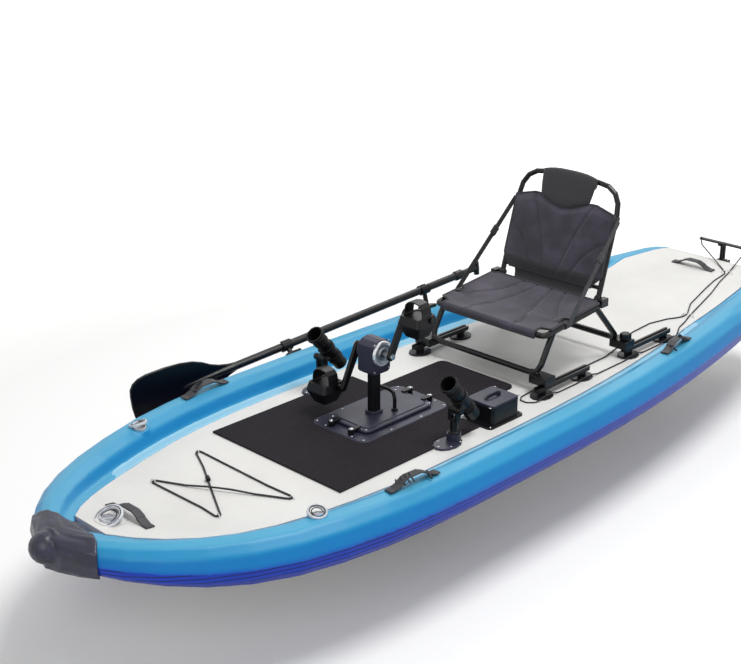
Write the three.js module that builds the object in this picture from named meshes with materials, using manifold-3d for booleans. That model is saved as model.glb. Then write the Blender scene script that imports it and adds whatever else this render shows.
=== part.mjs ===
// Inflatable pedal kayak: a drop-stitch floor board between two air tubes, with a
// pedal drive, a framed seat on tracks, two rod holders, an accessory box, a rudder
// and a paddle clipped along the starboard tube.
// Millimetres. +X to the bow, +Y to port, +Z up. The origin is on the flat bottom of
// the floor board, on the centreline at mid-length.
import * as THREE from "three";
import { mergeVertices } from "three/addons/utils/BufferGeometryUtils.js";
import Module from "manifold-3d";

const wasm = await Module();
wasm.setup();

// Driving dimensions
const gap = 0.3; // between pieces that touch
const play = 0.6; // radial, round a shaft that turns
const overrun = 2; // how far a cutter passes the face it opens
const weld = 0.0005; // vertices nearer than this are one

const hull = {
  bow: 1608, // foremost point of the tube axis
  stern: -1700,
  spread: 486, // tube axis to centreline, amidships
  foreShoulder: 400,
  aftShoulder: 100,
  sternTaper: 243,
  tubeRadius: 77,
  tubeLift: 5, // underside of the tube above the underside of the board
  noseRadius: 46,
  boardThickness: 100,
  seamInset: 116, // tube axis to the edge of the white board
  sternInset: 34,
  noseInset: 56,
  bowRise: 75,
  bowRiseStart: 1100,
  sternRise: 12,
  sternRiseStart: -910,
  rampStart: -1000,
  rampEnd: -1480,
  rampHeight: 62,
  cornerLength: 110,
  boardNose: 28,
};
const deck = hull.boardThickness;

const bumper = { rear: 1540, rearCurve: 250, wall: 7, bulbRadius: 46, tip: 1700, bulbRise: 12, ridge: 3,
  ridgeBack: 46 };

const pad = {
  front: 845, step: 215, rear: -120, halfWide: 292, halfNarrow: 168,
  thickness: 6.5, corner: 26, bevel: 1.4,
};

const well = { x: 370, length: 300, width: 112, wall: 5, flangeLength: 420, flangeWidth: 250,
  flangeThickness: 10, corner: 38, bevel: 3 };
const plate = { length: 320, width: 180, thickness: 11, corner: 24, bevel: 3, rim: 3, rimWidth: 8,
  plugDepth: 42, bossHeight: 10 };
const latch = { inset: 26, spread: 45, bossRadius: 11, reach: 40, width: 17, thickness: 6 };

const drive = {
  x: 405,
  columnDepth: 38, columnWidth: 33, columnWall: 4.5, columnCorner: 10, columnTop: 176,
  spindleHeight: 240,
  headLength: 82, headHeight: 116, headWidth: 70, headCentre: 228, headWall: 4.5, headChamfer: 18,
  capRadius: 43, capThickness: 8,
  spindleRadius: 9, spindleReach: 86,
  crankLength: 150, crankWidth: 22, crankThickness: 13, crankInner: 67, crankBoss: 15,
  crankAngle: 63, // below the horizon, forward, for the starboard arm
  shaftRadius: 6,
  propDepth: 270, // propeller axis below the deck
  legLength: 66, legWidth: 28, caseRadius: 27, caseLength: 190, caseNose: 78,
  bevelReach: 33, lowerReach: 15.65,
  prop: { radius: 98, hubRadius: 19, hubLength: 46, rootChord: 34, tipChord: 46, thickness: 4,
    shaftRadius: 5 },
};

const pedal = { inner: 94, width: 92, length: 98, toe: 16, treadHeight: 12, rimDrop: 14, depth: 70, wall: 6,
  pinRadius: 6, strapReach: 56, strapWidth: 42, strapThickness: 4 };

const liftHandle = { x: -56, port: 40, starboard: -46, height: 92, radius: 6.5, bend: 26 };

const rod = {
  x: 352, y: 300, footAhead: 30,
  footLength: 112, footWidth: 78, footThickness: 7,
  hubRadius: 24, hubHeight: 24, spigotRadius: 10, armRadius: 13, flangeRadius: 20,
  pivotHeight: 112, pivotRadius: 5, cheek: 8, jaw: 20, eye: 11, knobRadius: 12, knobLength: 12,
  tubeRadius: 25, tubeWall: 4, tubeHalf: 96, mouthRadius: 31, mouthLength: 26, saddle: 38,
  tilt: 49, // tube axis above the horizon, toward the bow
};

const box = { x: 125, y: 268, length: 132, width: 116, height: 65, flangeLength: 174, flangeWidth: 132,
  flangeThickness: 6, wall: 4, corner: 10, lidThickness: 9, lip: 4, hingeRadius: 5, hingePin: 2.5,
  lug: 8, lugInner: 22, hingeBack: 6,
  gripLength: 74, gripWidth: 14, gripThickness: 6, gripRise: 7, recess: 5 };

const track = {
  y: 280, frontX: -237, rearX: -748, baseGap: 226, baseLength: 92, baseWidth: 74, baseThickness: 6,
  postRadius: 15, postHeight: 16, railWidth: 26, railHeight: 14, railOverhang: 36, slotWidth: 9, slotDepth: 8,
};
const trackTop = gap + track.baseThickness + track.postHeight + track.railHeight; // above the deck

const seat = {
  tube: 11, halfWidth: 243, bend: 34, railBend: 20, frontFootX: -145, rearFootX: -615, footHeight: 62,
  frontTopX: -222, rearTopX: -468, railFrontX: -172, railRearX: -486, railFront: 192, railRear: 220,
  hingeX: -512,
  footLength: 56, footInner: 228, footOuter: 298, footTop: 66, tongueBack: 26, tongueAhead: 12,
  panelHalf: 250, panelOverhang: 9, panelThickness: 12, panelSag: 22, channel: 3,
  hingeRise: 14, hingeRadius: 5, hingeBlock: 13, eyeRadius: 13,
  backHeight: 402, hoopHalf: 218, hoopTube: 10, hoopBend: 105, crossbar: 40,
  lean: 16, // degrees aft
  backBottom: 30, backTop: 356, backHalf: 222, backThickness: 16,
  headHalf: 100, headHeight: 76, headThickness: 44, headBottom: 346,
  strapWidth: 25, strapThickness: 2.4, strapHigh: 285, strapFootX: -290, band: 24,
  buckleLength: 34, buckleThickness: 8,
};

const knob = { radius: 21, height: 26, stemRadius: 6, stemLength: 12, flutes: 6 };

const handle = { length: 150, width: 32, thickness: 5, rise: 24, sideX: 728, sideRearX: -711, padLength: 44,
  bowX: 1382, sternX: -1510 };

const bowValve = { x: 1446, ring: 44, cap: 31, ringHeight: 3, capHeight: 9, well: 16 };
const tubeValve = { x: 1052, ring: 29, cap: 22, ringHeight: 3, capHeight: 5, well: 12, lean: 18 };
const bayonetGrip = 4;

const bungee = { rearX: 966, rearY: 216, frontX: 1187, frontY: 151, radius: 3, eyelet: 9, eyeletRise: 10 };
const lineRadius = 2.5;

const line = {
  yokeHole: 5, eyeletHalf: 24, eyeletRise: 13, aftX: -1522, aftY: 153, foreX: -1108, foreY: 233,
  rampOut: [-1320, 206], rampFoot: [-1000, 264],
  bight: [[-44, 290], [-34, 264], [-52, 240]], inboardFront: -140, inboardRear: -560,
  home: [[-700, 205], [-833, 162], [-960, 158], [-1050, 184]], rampHome: [[-1200, 186], [-1340, 166]],
};

const rudder = {
  plateThickness: 8, plateWidth: 58, plateLow: 50, plateHigh: 150, pinBack: 42, pinRadius: 6, pinTop: 212,
  lugRadius: 13, lugThickness: 10, lowLug: 60, highLug: 138,
  sleeveRadius: 15, webThickness: 12, webBack: 26, yokeHalf: 112, yokeWidth: 22, yokeThickness: 6,
    yokeHeight: 214,
  cheekThickness: 5, cheekLength: 66, cheekDepth: 52, pivotBack: 50, pivotHeight: 105, pivotRadius: 6,
  bladeThickness: 8, bladeLength: 226, bladeChord: 128, bladeHead: 20,
};

const paddle = {
  shaftRadius: 14.5, bore: 12.5, gripRadius: 12, neckX: 465, neckY: -607, neckZ: 132,
  clampX: -588, clampY: -486, clampZ: 243, gripLength: 80, inserted: 430, pushIn: 60,
  bladeLength: 434, bladeHalf: 103, bladeThickness: 8, spine: 230, clampRadius: 19, clampLength: 42,
  teeLength: 54, teeRadius: 14,
};
const clip = { forwardX: 262, aftX: -392, length: 40, wall: 6, padLength: 70, padWidth: 46, padThickness: 9,
  postRadius: 9, mouth: 21 };

const TURN = 2 * Math.PI;
const RAD = Math.PI / 180;
const X = new THREE.Vector3(1, 0, 0);
const Y = new THREE.Vector3(0, 1, 0);
const Z = new THREE.Vector3(0, 0, 1);
const at = (x, y, z) => new THREE.Vector3(x, y, z);

// Colours and finishes
const finish = (color, roughness, metalness = 0) =>
  new THREE.MeshStandardMaterial({ color, roughness, metalness });
const white = finish("#eceae6", 0.55);
const blue = finish("#3aa5dc", 0.45);
const slate = finish("#3c3c50", 0.5);
const black = finish("#17171b", 0.5);
const foam = finish("#232326", 0.9);
const fabric = finish("#45424e", 0.95);
const webbing = finish("#141417", 0.9);
const pale = finish("#c9cdd2", 0.4);
const silver = finish("#c7c9cd", 0.3, 0.9);
const steel = finish("#8a8d92", 0.35, 0.9);

// Solids: closed geometries joined and cut exactly
function signedVolume(geometry) {
  const p = geometry.attributes.position;
  const index = geometry.index;
  const [a, b, c] = [at(0, 0, 0), at(0, 0, 0), at(0, 0, 0)];
  let sum = 0;
  for (let i = 0; i < index.count; i += 3) {
    a.fromBufferAttribute(p, index.getX(i));
    b.fromBufferAttribute(p, index.getX(i + 1));
    c.fromBufferAttribute(p, index.getX(i + 2));
    sum += a.dot(b.cross(c));
  }
  return sum;
}

function solid(geometry) {
  const bare = geometry.clone();
  for (const name of Object.keys(bare.attributes)) if (name !== "position") bare.deleteAttribute(name);
  const merged = mergeVertices(bare, weld);
  const triVerts = new Uint32Array(merged.index.array);
  if (signedVolume(merged) < 0) {
    for (let i = 0; i < triVerts.length; i += 3) {
      [triVerts[i + 1], triVerts[i + 2]] = [triVerts[i + 2], triVerts[i + 1]];
    }
  }
  const vertProperties = new Float32Array(merged.attributes.position.array);
  return new wasm.Manifold(new wasm.Mesh({ numProp: 3, vertProperties, triVerts }));
}

function geometryOf(manifold) {
  const mesh = manifold.getMesh();
  const geometry = new THREE.BufferGeometry();
  geometry.setAttribute("position", new THREE.BufferAttribute(new Float32Array(mesh.vertProperties), 3));
  geometry.setIndex(new THREE.BufferAttribute(new Uint32Array(mesh.triVerts), 1));
  geometry.computeVertexNormals();
  return geometry;
}

const join = (...solids) => solids.reduce((whole, next) => whole.add(next));
const cut = (whole, ...tools) => tools.reduce((rest, tool) => rest.subtract(tool), whole);

function place(geometry, matrix) {
  return solid(geometry.clone().applyMatrix4(matrix));
}

const shift = (x, y, z) => new THREE.Matrix4().makeTranslation(x, y, z);
const turn = (axis, degrees) => new THREE.Matrix4().makeRotationAxis(axis, degrees * RAD);
const chain = (...matrices) => matrices.reduce((all, next) => all.clone().multiply(next));

// Basic forms
const cuboid = (length, width, height) => new THREE.BoxGeometry(length, width, height);

function block(low, high) {
  const size = high.clone().sub(low);
  const middle = low.clone().add(high).multiplyScalar(0.5);
  return place(cuboid(size.x, size.y, size.z), shift(middle.x, middle.y, middle.z));
}

function roundedRect(length, width, radius) {
  const [a, b] = [length / 2, width / 2];
  const r = Math.min(radius, a, b);
  const shape = new THREE.Shape();
  shape.moveTo(-a + r, -b);
  shape.lineTo(a - r, -b);
  shape.absarc(a - r, -b + r, r, -Math.PI / 2, 0);
  shape.lineTo(a, b - r);
  shape.absarc(a - r, b - r, r, 0, Math.PI / 2);
  shape.lineTo(-a + r, b);
  shape.absarc(-a + r, b - r, r, Math.PI / 2, Math.PI);
  shape.lineTo(-a, -b + r);
  shape.absarc(-a + r, -b + r, r, Math.PI, 1.5 * Math.PI);
  return shape;
}

function oval(length, width) {
  const shape = new THREE.Shape();
  shape.absellipse(0, 0, length / 2, width / 2, 0, TURN);
  return shape;
}

function polygon(points) {
  const shape = new THREE.Shape();
  points.forEach(([px, py], i) => (i === 0 ? shape.moveTo(px, py) : shape.lineTo(px, py)));
  return shape;
}

// A bar in plan from the origin along X, with a round end of each radius
function roundEndedBar(length, nearRadius, farRadius) {
  const shape = new THREE.Shape();
  shape.absarc(0, 0, nearRadius, Math.PI / 2, 1.5 * Math.PI);
  shape.lineTo(length, -farRadius);
  shape.absarc(length, 0, farRadius, -Math.PI / 2, Math.PI / 2);
  shape.lineTo(0, nearRadius);
  return shape;
}

function slab(shape, thickness, bevel = 0, curveSegments = 3) {
  if (bevel === 0) return new THREE.ExtrudeGeometry(shape, { depth: thickness, bevelEnabled: false,
    curveSegments });
  const geometry = new THREE.ExtrudeGeometry(shape, {
    depth: thickness - 2 * bevel, bevelEnabled: true, bevelThickness: bevel, bevelSize: bevel,
    bevelOffset: -bevel, bevelSegments: 1, curveSegments,
  });
  return geometry.translate(0, 0, bevel);
}

// A turned form on the Z axis, from radius and height pairs that start and end on the axis
function turned(profile, segments = 20) {
  const points = profile.map(([radius, height]) => new THREE.Vector2(radius, height));
  return new THREE.LatheGeometry(points, segments).rotateX(Math.PI / 2);
}

const disc = (radius, low, high, segments = 20) =>
  turned([[0, low], [radius, low], [radius, high], [0, high]], segments);

function along(axis) {
  return new THREE.Matrix4().makeRotationFromQuaternion(new THREE.Quaternion().setFromUnitVectors(Z, axis));
}

function rodBetween(from, to, radius, segments = 10) {
  const axis = to.clone().sub(from);
  const length = axis.length();
  return place(disc(radius, 0, length, segments), chain(shift(from.x, from.y, from.z),
    along(axis.normalize())));
}

// A path that turns only at its own stations, so a bent tube has rings only where it bends
class StationPath extends THREE.Curve {
  constructor(stations, closed = false) {
    super();
    this.stations = closed ? [...stations, stations[0].clone()] : stations;
    this.closed = closed;
  }
  getUtoTmapping(u) {
    return u;
  }
  getPoint(t, target = new THREE.Vector3()) {
    const last = this.stations.length - 1;
    const i = Math.min(Math.floor(t * last + 1e-9), last - 1);
    return target.lerpVectors(this.stations[i], this.stations[i + 1], t * last - i);
  }
  getTangent(t, target = new THREE.Vector3()) {
    const last = this.stations.length - 1;
    const i = Math.round(t * last);
    const wrap = this.closed && (i === 0 || i === last);
    const before = wrap ? this.stations[last - 1] : this.stations[Math.max(i - 1, 0)];
    const after = wrap ? this.stations[1] : this.stations[Math.min(i + 1, last)];
    const here = this.stations[i];
    const back = here.clone().sub(before).normalize();
    const ahead = after.clone().sub(here).normalize();
    return target.addVectors(back, ahead).normalize();
  }
}

// Corners of a run of points rounded to a bend radius, with a few stations in each bend
function bends(points, radius, perBend = 3, closed = false) {
  const stations = closed ? [] : [points[0]];
  const count = points.length;
  const [first, last] = closed ? [0, count] : [1, count - 1];
  for (let i = first; i < last; i += 1) {
    const corner = points[i];
    const before = points[(i - 1 + count) % count];
    const after = points[(i + 1) % count];
    const back = before.clone().sub(corner);
    const ahead = after.clone().sub(corner);
    const half = back.angleTo(ahead) / 2;
    const reach = Math.min(radius / Math.tan(half), 0.48 * back.length(), 0.48 * ahead.length());
    const start = corner.clone().add(back.normalize().multiplyScalar(reach));
    const end = corner.clone().add(ahead.normalize().multiplyScalar(reach));
    const bend = new THREE.QuadraticBezierCurve3(start, corner, end);
    for (let k = 0; k <= perBend; k += 1) stations.push(bend.getPoint(k / perBend));
  }
  if (!closed) stations.push(points[count - 1]);
  return stations;
}

function circleShape(radius, sides) {
  const shape = new THREE.Shape();
  for (let i = 0; i < sides; i += 1) {
    const angle = ((i + 0.5) * TURN) / sides;
    const [px, py] = [radius * Math.cos(angle), radius * Math.sin(angle)];
    if (i === 0) shape.moveTo(px, py);
    else shape.lineTo(px, py);
  }
  return shape;
}

function sweep(shape, stations) {
  const path = new StationPath(stations);
  return new THREE.ExtrudeGeometry(shape, {
    steps: stations.length - 1, bevelEnabled: false, extrudePath: path, curveSegments: 1,
  });
}

const bentTube = (points, radius, bendRadius, sides = 8, perBend = 3) =>
  solid(sweep(circleShape(radius, sides), bends(points, bendRadius, perBend)));

// A closed cord: rings carried round the loop and joined end to end
function cordLoop(stations, radius, sides = 5) {
  const rings = stations.map((here, i) => {
    const before = stations[(i - 1 + stations.length) % stations.length];
    const after = stations[(i + 1) % stations.length];
    const forward = after.clone().sub(before).normalize();
    const side = forward.clone().cross(Z).normalize();
    const up = side.clone().cross(forward);
    return Array.from({ length: sides }, (_, k) => {
      const angle = (k * TURN) / sides;
      return here.clone().addScaledVector(side, radius * Math.cos(angle)).addScaledVector(up,
        radius * Math.sin(angle));
    });
  });
  return solid(loft(rings, null, true));
}

// Rings of equal count joined in order, with a fan at each end or the last joined to the first
function loft(rings, centres = null, closed = false) {
  const count = rings[0].length;
  const points = rings.flat();
  const faces = [];
  const spans = closed ? rings.length : rings.length - 1;
  for (let i = 0; i < spans; i += 1) {
    const [low, high] = [i * count, ((i + 1) % rings.length) * count];
    for (let k = 0; k < count; k += 1) {
      const next = (k + 1) % count;
      faces.push(low + k, low + next, high + next, low + k, high + next, high + k);
    }
  }
  if (!closed) {
    [[0, true], [rings.length - 1, false]].forEach(([i, flip], end) => {
      const ring = rings[i];
      const mean = ring.reduce((sum, p) => sum.add(p), at(0, 0, 0)).multiplyScalar(1 / count);
      const hub = points.push(centres ? centres[end] : mean) - 1;
      for (let k = 0; k < count; k += 1) {
        const [a, b] = [i * count + k, i * count + ((k + 1) % count)];
        faces.push(...(flip ? [hub, b, a] : [hub, a, b]));
      }
    });
  }
  const geometry = new THREE.BufferGeometry();
  geometry.setAttribute("position", new THREE.Float32BufferAttribute(points.flatMap((p) => [p.x, p.y,
    p.z]), 3));
  geometry.setIndex(faces);
  return geometry;
}

const kayak = new THREE.Group();
function add(name, form, material, parent = kayak) {
  const mesh = new THREE.Mesh(geometryOf(form), material.clone());
  mesh.name = name;
  parent.add(mesh);
  return mesh;
}

function groupAt(x, y, z) {
  const group = new THREE.Group();
  group.position.set(x, y, z);
  kayak.add(group);
  return group;
}

// The hull: plan curve of the tube axis, rise of the bottom and height of the deck
const bowFullness = 2.74;
const bowSharpness = 0.63;
const sternPower = 2.03;

function axisHalf(x) {
  if (x > hull.foreShoulder) {
    const s = Math.min((x - hull.foreShoulder) / (hull.bow - hull.foreShoulder), 1);
    return hull.spread * (1 - s ** bowFullness) ** bowSharpness;
  }
  if (x < hull.aftShoulder) {
    const s = (hull.aftShoulder - x) / (hull.aftShoulder - hull.stern);
    return hull.spread - hull.sternTaper * s ** sternPower;
  }
  return hull.spread;
}

const smooth = (t) => t * t * (3 - 2 * t);
const clamp01 = (t) => Math.min(Math.max(t, 0), 1);

function bottomRise(x) {
  const fore = clamp01((x - hull.bowRiseStart) / (hull.bow - hull.bowRiseStart));
  const aft = clamp01((hull.sternRiseStart - x) / (hull.sternRiseStart - hull.stern));
  return hull.bowRise * fore ** 2 + hull.sternRise * aft ** 2;
}

const rampShare = (x) => smooth(clamp01((hull.rampStart - x) / (hull.rampStart - hull.rampEnd)));
const deckHeight = (x) => bottomRise(x) + deck + hull.rampHeight * rampShare(x);
const noseShare = (x) => clamp01((x - hull.foreShoulder) / (hull.bow - hull.foreShoulder)) ** 5;
const tubeRadiusAt = (x) => hull.tubeRadius + (hull.noseRadius - hull.tubeRadius) * noseShare(x);
const insetAt = (x) => hull.seamInset + (hull.sternInset - hull.seamInset) * rampShare(x)
  + (hull.noseInset - hull.seamInset) * noseShare(x);

const aftStations = 10;
const foreStations = 12;
const cornerShares = [0, 0.45, 0.8, 0.99];
const endShare = 0.72; // how much of its height the hull keeps at the transom's rounded end

// Stations along the port tube's axis, stern to bow, each with its outward direction in plan
function hullStations() {
  const xs = [];
  for (const share of [...cornerShares].reverse()) xs.push(hull.stern + hull.cornerLength * (1 - share));
  xs.sort((a, b) => a - b);
  const aftStart = hull.stern + hull.cornerLength;
  for (let i = 1; i <= aftStations; i += 1) xs.push(aftStart + ((hull.aftShoulder - aftStart) * i) / aftStations);
  xs.push(hull.foreShoulder);
  for (let i = 1; i <= foreStations; i += 1) {
    const s = Math.sin((i / foreStations) * (Math.PI / 2));
    xs.push(hull.foreShoulder + (hull.bow - hull.foreShoulder) * s);
  }
  const axis = xs.map((x) => at(x, axisHalf(x), 0));
  return axis.map((here, i) => {
    const last = axis.length - 1;
    const forward = i === last ? at(0, -1, 0)
      : axis[i + 1].clone().sub(axis[Math.max(i - 1, 0)]).normalize();
    const outward = at(-forward.y, forward.x, 0);
    const s = clamp01((aftStart - here.x) / hull.cornerLength);
    return { here, outward, corner: Math.sqrt(Math.max(1 - s * s, 0)) };
  });
}
const stations = hullStations();

const arcSteps = 8;
// One side tube's rings; grow thickens the form all round, for what has to clear it
function tubeRings(grow = 0) {
  return stations.map(({ here, outward, corner }) => {
    const inset = insetAt(here.x);
    const seam = here.clone().addScaledVector(outward, -inset);
    const radius = tubeRadiusAt(here.x) + grow;
    const centre = bottomRise(here.x) + hull.tubeLift + tubeRadiusAt(here.x);
    const top = deckHeight(seam.x) + grow;
    const crease = Math.asin(Math.min((top - centre) / radius, 0.985));
    const ring = [
      [-inset - grow, bottomRise(seam.x) - grow],
      [-inset - grow, top],
      [-radius * Math.cos(crease), Math.max(centre + radius * Math.sin(crease), top)],
    ];
    for (let k = 1; k <= arcSteps; k += 1) {
      const angle = Math.PI - crease + ((-Math.PI / 2 - (Math.PI - crease)) * k) / arcSteps;
      ring.push([radius * Math.cos(angle), centre + radius * Math.sin(angle)]);
    }
    const middle = (bottomRise(seam.x) + top) / 2;
    return ring.map(([out, height]) => {
      const point = here.clone().addScaledVector(outward, -inset + (out + inset) * corner);
      point.z = middle + (height - middle) * (endShare + (1 - endShare) * corner);
      return point;
    });
  });
}

function ringCentres(rings) {
  return [rings[0], rings[rings.length - 1]].map((ring) => {
    const sum = ring.slice(3).reduce((total, p) => total.add(p), at(0, 0, 0));
    return sum.multiplyScalar(1 / (ring.length - 3));
  });
}

function sideTube(side, grow = 0) {
  const rings = tubeRings(grow);
  const whole = solid(loft(rings, ringCentres(rings)));
  const far = hull.bow * 2;
  const port = cut(whole, block(at(-far, -far, -far), at(far, grow > 0 ? -overrun : gap / 2, far)));
  return side > 0 ? port : port.mirror([0, 1, 0]);
}

// The floor board between the seams
function boardRings(grow = 0) {
  const rings = [];
  for (const { here, outward, corner } of stations) {
    const seam = here.clone().addScaledVector(outward, -insetAt(here.x) - gap + grow);
    if (outward.x > 0.99 || seam.y < hull.boardNose) break;
    const low = bottomRise(seam.x) - grow;
    const high = deckHeight(seam.x) + grow;
    const middle = (low + high) / 2;
    const half = ((high - low) / 2) * (endShare + (1 - endShare) * corner);
    rings.push([
      at(seam.x, seam.y, middle - half), at(seam.x, seam.y, middle + half),
      at(seam.x, -seam.y, middle + half), at(seam.x, -seam.y, middle - half),
    ]);
  }
  return rings;
}
const board = (grow = 0) => solid(loft(boardRings(grow)));

// Height of the board's upper face, along the straight runs between its rings
const deckLine = boardRings().map((ring) => ring[1]);
function deckAt(x) {
  const i = Math.min(Math.max(deckLine.findIndex((p) => p.x > x), 1), deckLine.length - 1);
  const [low, high] = [deckLine[i - 1], deckLine[i]];
  return low.z + ((high.z - low.z) * (x - low.x)) / (high.x - low.x);
}

// Places on the hull's surface: a frame whose Z is the surface's outward normal
function tubeFrame(x, side, lean) {
  const step = hull.tubeRadius / 40;
  const slope = (axisHalf(x + step) - axisHalf(x - step)) / (2 * step);
  const forward = at(1, slope, (bottomRise(x + step) - bottomRise(x - step)) / (2 * step)).normalize();
  const inboard = at(forward.y, -forward.x, 0).normalize();
  const normal = Z.clone().multiplyScalar(Math.cos(lean * RAD)).addScaledVector(inboard,
    Math.sin(lean * RAD));
  normal.addScaledVector(forward, -normal.dot(forward)).normalize();
  const radius = tubeRadiusAt(x);
  const centre = bottomRise(x) + hull.tubeLift + radius;
  const origin = at(x, axisHalf(x), centre).addScaledVector(normal, radius);
  if (side < 0) for (const v of [forward, normal, origin]) v.y = -v.y;
  const across = normal.clone().cross(forward);
  return new THREE.Matrix4().makeBasis(forward, across, normal).setPosition(origin);
}

function deckFrame(x, y) {
  const step = hull.tubeRadius / 40;
  const slope = (deckAt(x + step) - deckAt(x - step)) / (2 * step);
  return chain(shift(x, y, deckAt(x) + gap), turn(Y, -Math.atan(slope) / RAD));
}

function lay(mesh, matrix) {
  matrix.decompose(mesh.position, mesh.quaternion, mesh.scale);
  return mesh;
}

// Valves: a ring welded to the chamber with a well in it, and a cap that turns in the well
const valveSides = 16;
const valveBore = (v) => v.cap / Math.cos(Math.PI / valveSides) + gap; // clear of the cap's corners as it turns
const valveRing = (v) => solid(disc(v.ring, -v.well / 2, v.ringHeight, valveSides));
const valveWell = (v) => solid(disc(valveBore(v), -v.well, v.ringHeight + overrun, valveSides));
function valveCap(v) {
  const rim = turned([[0, gap - v.well], [v.cap, gap - v.well], [v.cap, v.capHeight],
    [v.cap - bayonetGrip, v.capHeight], [v.cap - bayonetGrip, 0], [0, 0]], valveSides);
  const bar = cuboid(2 * v.cap - bayonetGrip, bayonetGrip, v.capHeight).translate(0, 0, v.capHeight / 2);
  return join(solid(rim), solid(bar));
}
const tubeValveAt = (side) => tubeFrame(tubeValve.x, side, tubeValve.lean);
const bowValveAt = deckFrame(bowValve.x, 0);

for (const [side, name] of [[1, "port"], [-1, "starboard"]]) {
  const frame = tubeValveAt(side);
  const ring = valveRing(tubeValve).transform(frame.elements);
  const hollow = valveWell(tubeValve).transform(frame.elements);
  add(`${name}_side_tube`, cut(join(sideTube(side), ring), hollow), blue);
  lay(add(`${name}_valve_cap`, valveCap(tubeValve), pale), frame);
}

// Bungee: one elastic loop laced across the fore deck through four webbing eyelets
const eyelets = [
  [bungee.rearX, -bungee.rearY], [bungee.rearX, bungee.rearY],
  [bungee.frontX, -bungee.frontY], [bungee.frontX, bungee.frontY],
].map(([x, y]) => at(x, y, 0));

function eyeletDirections(i) {
  const here = eyelets[i];
  const back = eyelets[(i + 3) % 4].clone().sub(here).normalize();
  const ahead = eyelets[(i + 1) % 4].clone().sub(here).normalize();
  return { inward: back.clone().add(ahead).normalize(), half: back.angleTo(ahead) / 2, back, ahead };
}

function eyeletLoop(i) {
  const { inward } = eyeletDirections(i);
  const { eyelet: half, eyeletRise: rise } = bungee;
  const foot = (side, height) => {
    const p = eyelets[i].clone().addScaledVector(inward, side * half);
    p.z = deckAt(p.x) + height;
    return p;
  };
  return bentTube([foot(-1, -rise / 2), foot(-1, rise), foot(1, rise), foot(1, -rise / 2)],
    bungee.radius * 0.55, half, 4, 1);
}

function bungeeStations() {
  const cordHeight = bungee.radius * Math.sin(0.4 * Math.PI) + gap;
  const points = [];
  const lifted = (p, extra) => at(p.x, p.y, deckAt(p.x) + cordHeight + extra);
  for (let i = 0; i < 4; i += 1) {
    const { inward, half, back } = eyeletDirections(i);
    const centre = eyelets[i].clone().addScaledVector(inward, bungee.eyelet);
    const outAngle = Math.atan2(-inward.y, -inward.x);
    const sweepHalf = Math.PI / 2 - half;
    const sense = Math.sign(back.x * -inward.y - back.y * -inward.x) || 1;
    for (let k = -2; k <= 2; k += 1) {
      const angle = outAngle + (sense * sweepHalf * k) / 2;
      points.push(lifted(at(centre.x + bungee.eyelet * Math.cos(angle),
        centre.y + bungee.eyelet * Math.sin(angle), 0), 0));
    }
    const from = points[points.length - 1];
    const target = eyelets[(i + 1) % 4];
    const over = i === 1 ? 2 * bungee.radius + gap * 3 : 0;
    for (const [share, lift] of [[0.25, 0.2], [0.42, 1], [0.5, 1], [0.58, 1], [0.75, 0.2]]) {
      points.push(lifted(from.clone().lerp(target, share), over * lift));
    }
  }
  return points;
}
const cordLock = { station: 37, share: 0.4, length: 24, radius: 9 };

// Webbing loops that carry the steering line
function lineEyelet(x, y, angle) {
  const side = at(Math.cos(angle * RAD), Math.sin(angle * RAD), 0);
  const point = (share, height) => {
    const p = at(x, y, 0).addScaledVector(side, share * line.eyeletHalf);
    p.z = deckAt(p.x) + height;
    return p;
  };
  const { eyeletRise: rise } = line;
  return bentTube([point(-1, -rise / 2), point(-1, rise), point(1, rise), point(1, -rise / 2)],
    lineRadius * 0.8, rise, 4, 1);
}
const lineEyeletAngle = 104;

const boardSolid = cut(
  join(board(), valveRing(bowValve).transform(bowValveAt.elements), ...[0, 1, 2, 3].map(eyeletLoop),
    lineEyelet(line.aftX, line.aftY, lineEyeletAngle), lineEyelet(line.foreX, line.foreY, lineEyeletAngle)),
  valveWell(bowValve).transform(bowValveAt.elements),
  block(
    at(well.x - well.length / 2 - well.wall - gap, -well.width / 2 - well.wall - gap, -overrun),
    at(well.x + well.length / 2 + well.wall + gap, well.width / 2 + well.wall + gap, deck + overrun),
  ),
);
add("floor_board", boardSolid, white);
lay(add("bow_valve_cap", valveCap(bowValve), pale), bowValveAt);

const laced = bungeeStations();
const [lockBefore, lockAfter] = laced.slice(cordLock.station, cordLock.station + 2);
const lockMiddle = lockBefore.clone().lerp(lockAfter, cordLock.share);
const lockAxis = lockAfter.clone().sub(lockBefore).normalize();
const lockBody = rodBetween(
  lockMiddle.clone().addScaledVector(lockAxis, -cordLock.length / 2),
  lockMiddle.clone().addScaledVector(lockAxis, cordLock.length / 2), cordLock.radius * 0.8, 10);
add("bungee_cord", join(cordLoop(laced, bungee.radius), lockBody.translate([0, 0, cordLock.radius * 0.5])),
  webbing);

// Bow bumper: a moulded rubber nose wrapped over both tube ends and the tip of the board
function bumperDome() {
  const rings = [];
  const sides = 12;
  const sharpness = 2 / 3;
  for (const { here, outward } of stations) {
    const radius = tubeRadiusAt(here.x);
    const edge = here.clone().addScaledVector(outward, radius + bumper.wall);
    if (edge.x < bumper.rear - hull.noseRadius) continue;
    const base = bottomRise(here.x) + hull.tubeLift;
    const halfHeight = radius + bumper.wall;
    const wide = Math.max(edge.y, gap);
    rings.push(Array.from({ length: sides }, (_, k) => {
      const angle = (k * TURN) / sides;
      const [c, s] = [Math.cos(angle), Math.sin(angle)];
      return at(edge.x, wide * Math.sign(c) * Math.abs(c) ** sharpness,
        base + radius + halfHeight * Math.sign(s) * Math.abs(s) ** sharpness);
    }));
  }
  return solid(loft(rings));
}
const bumperHeight = bottomRise(hull.bow) + hull.tubeLift + hull.noseRadius + bumper.bulbRise;
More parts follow.
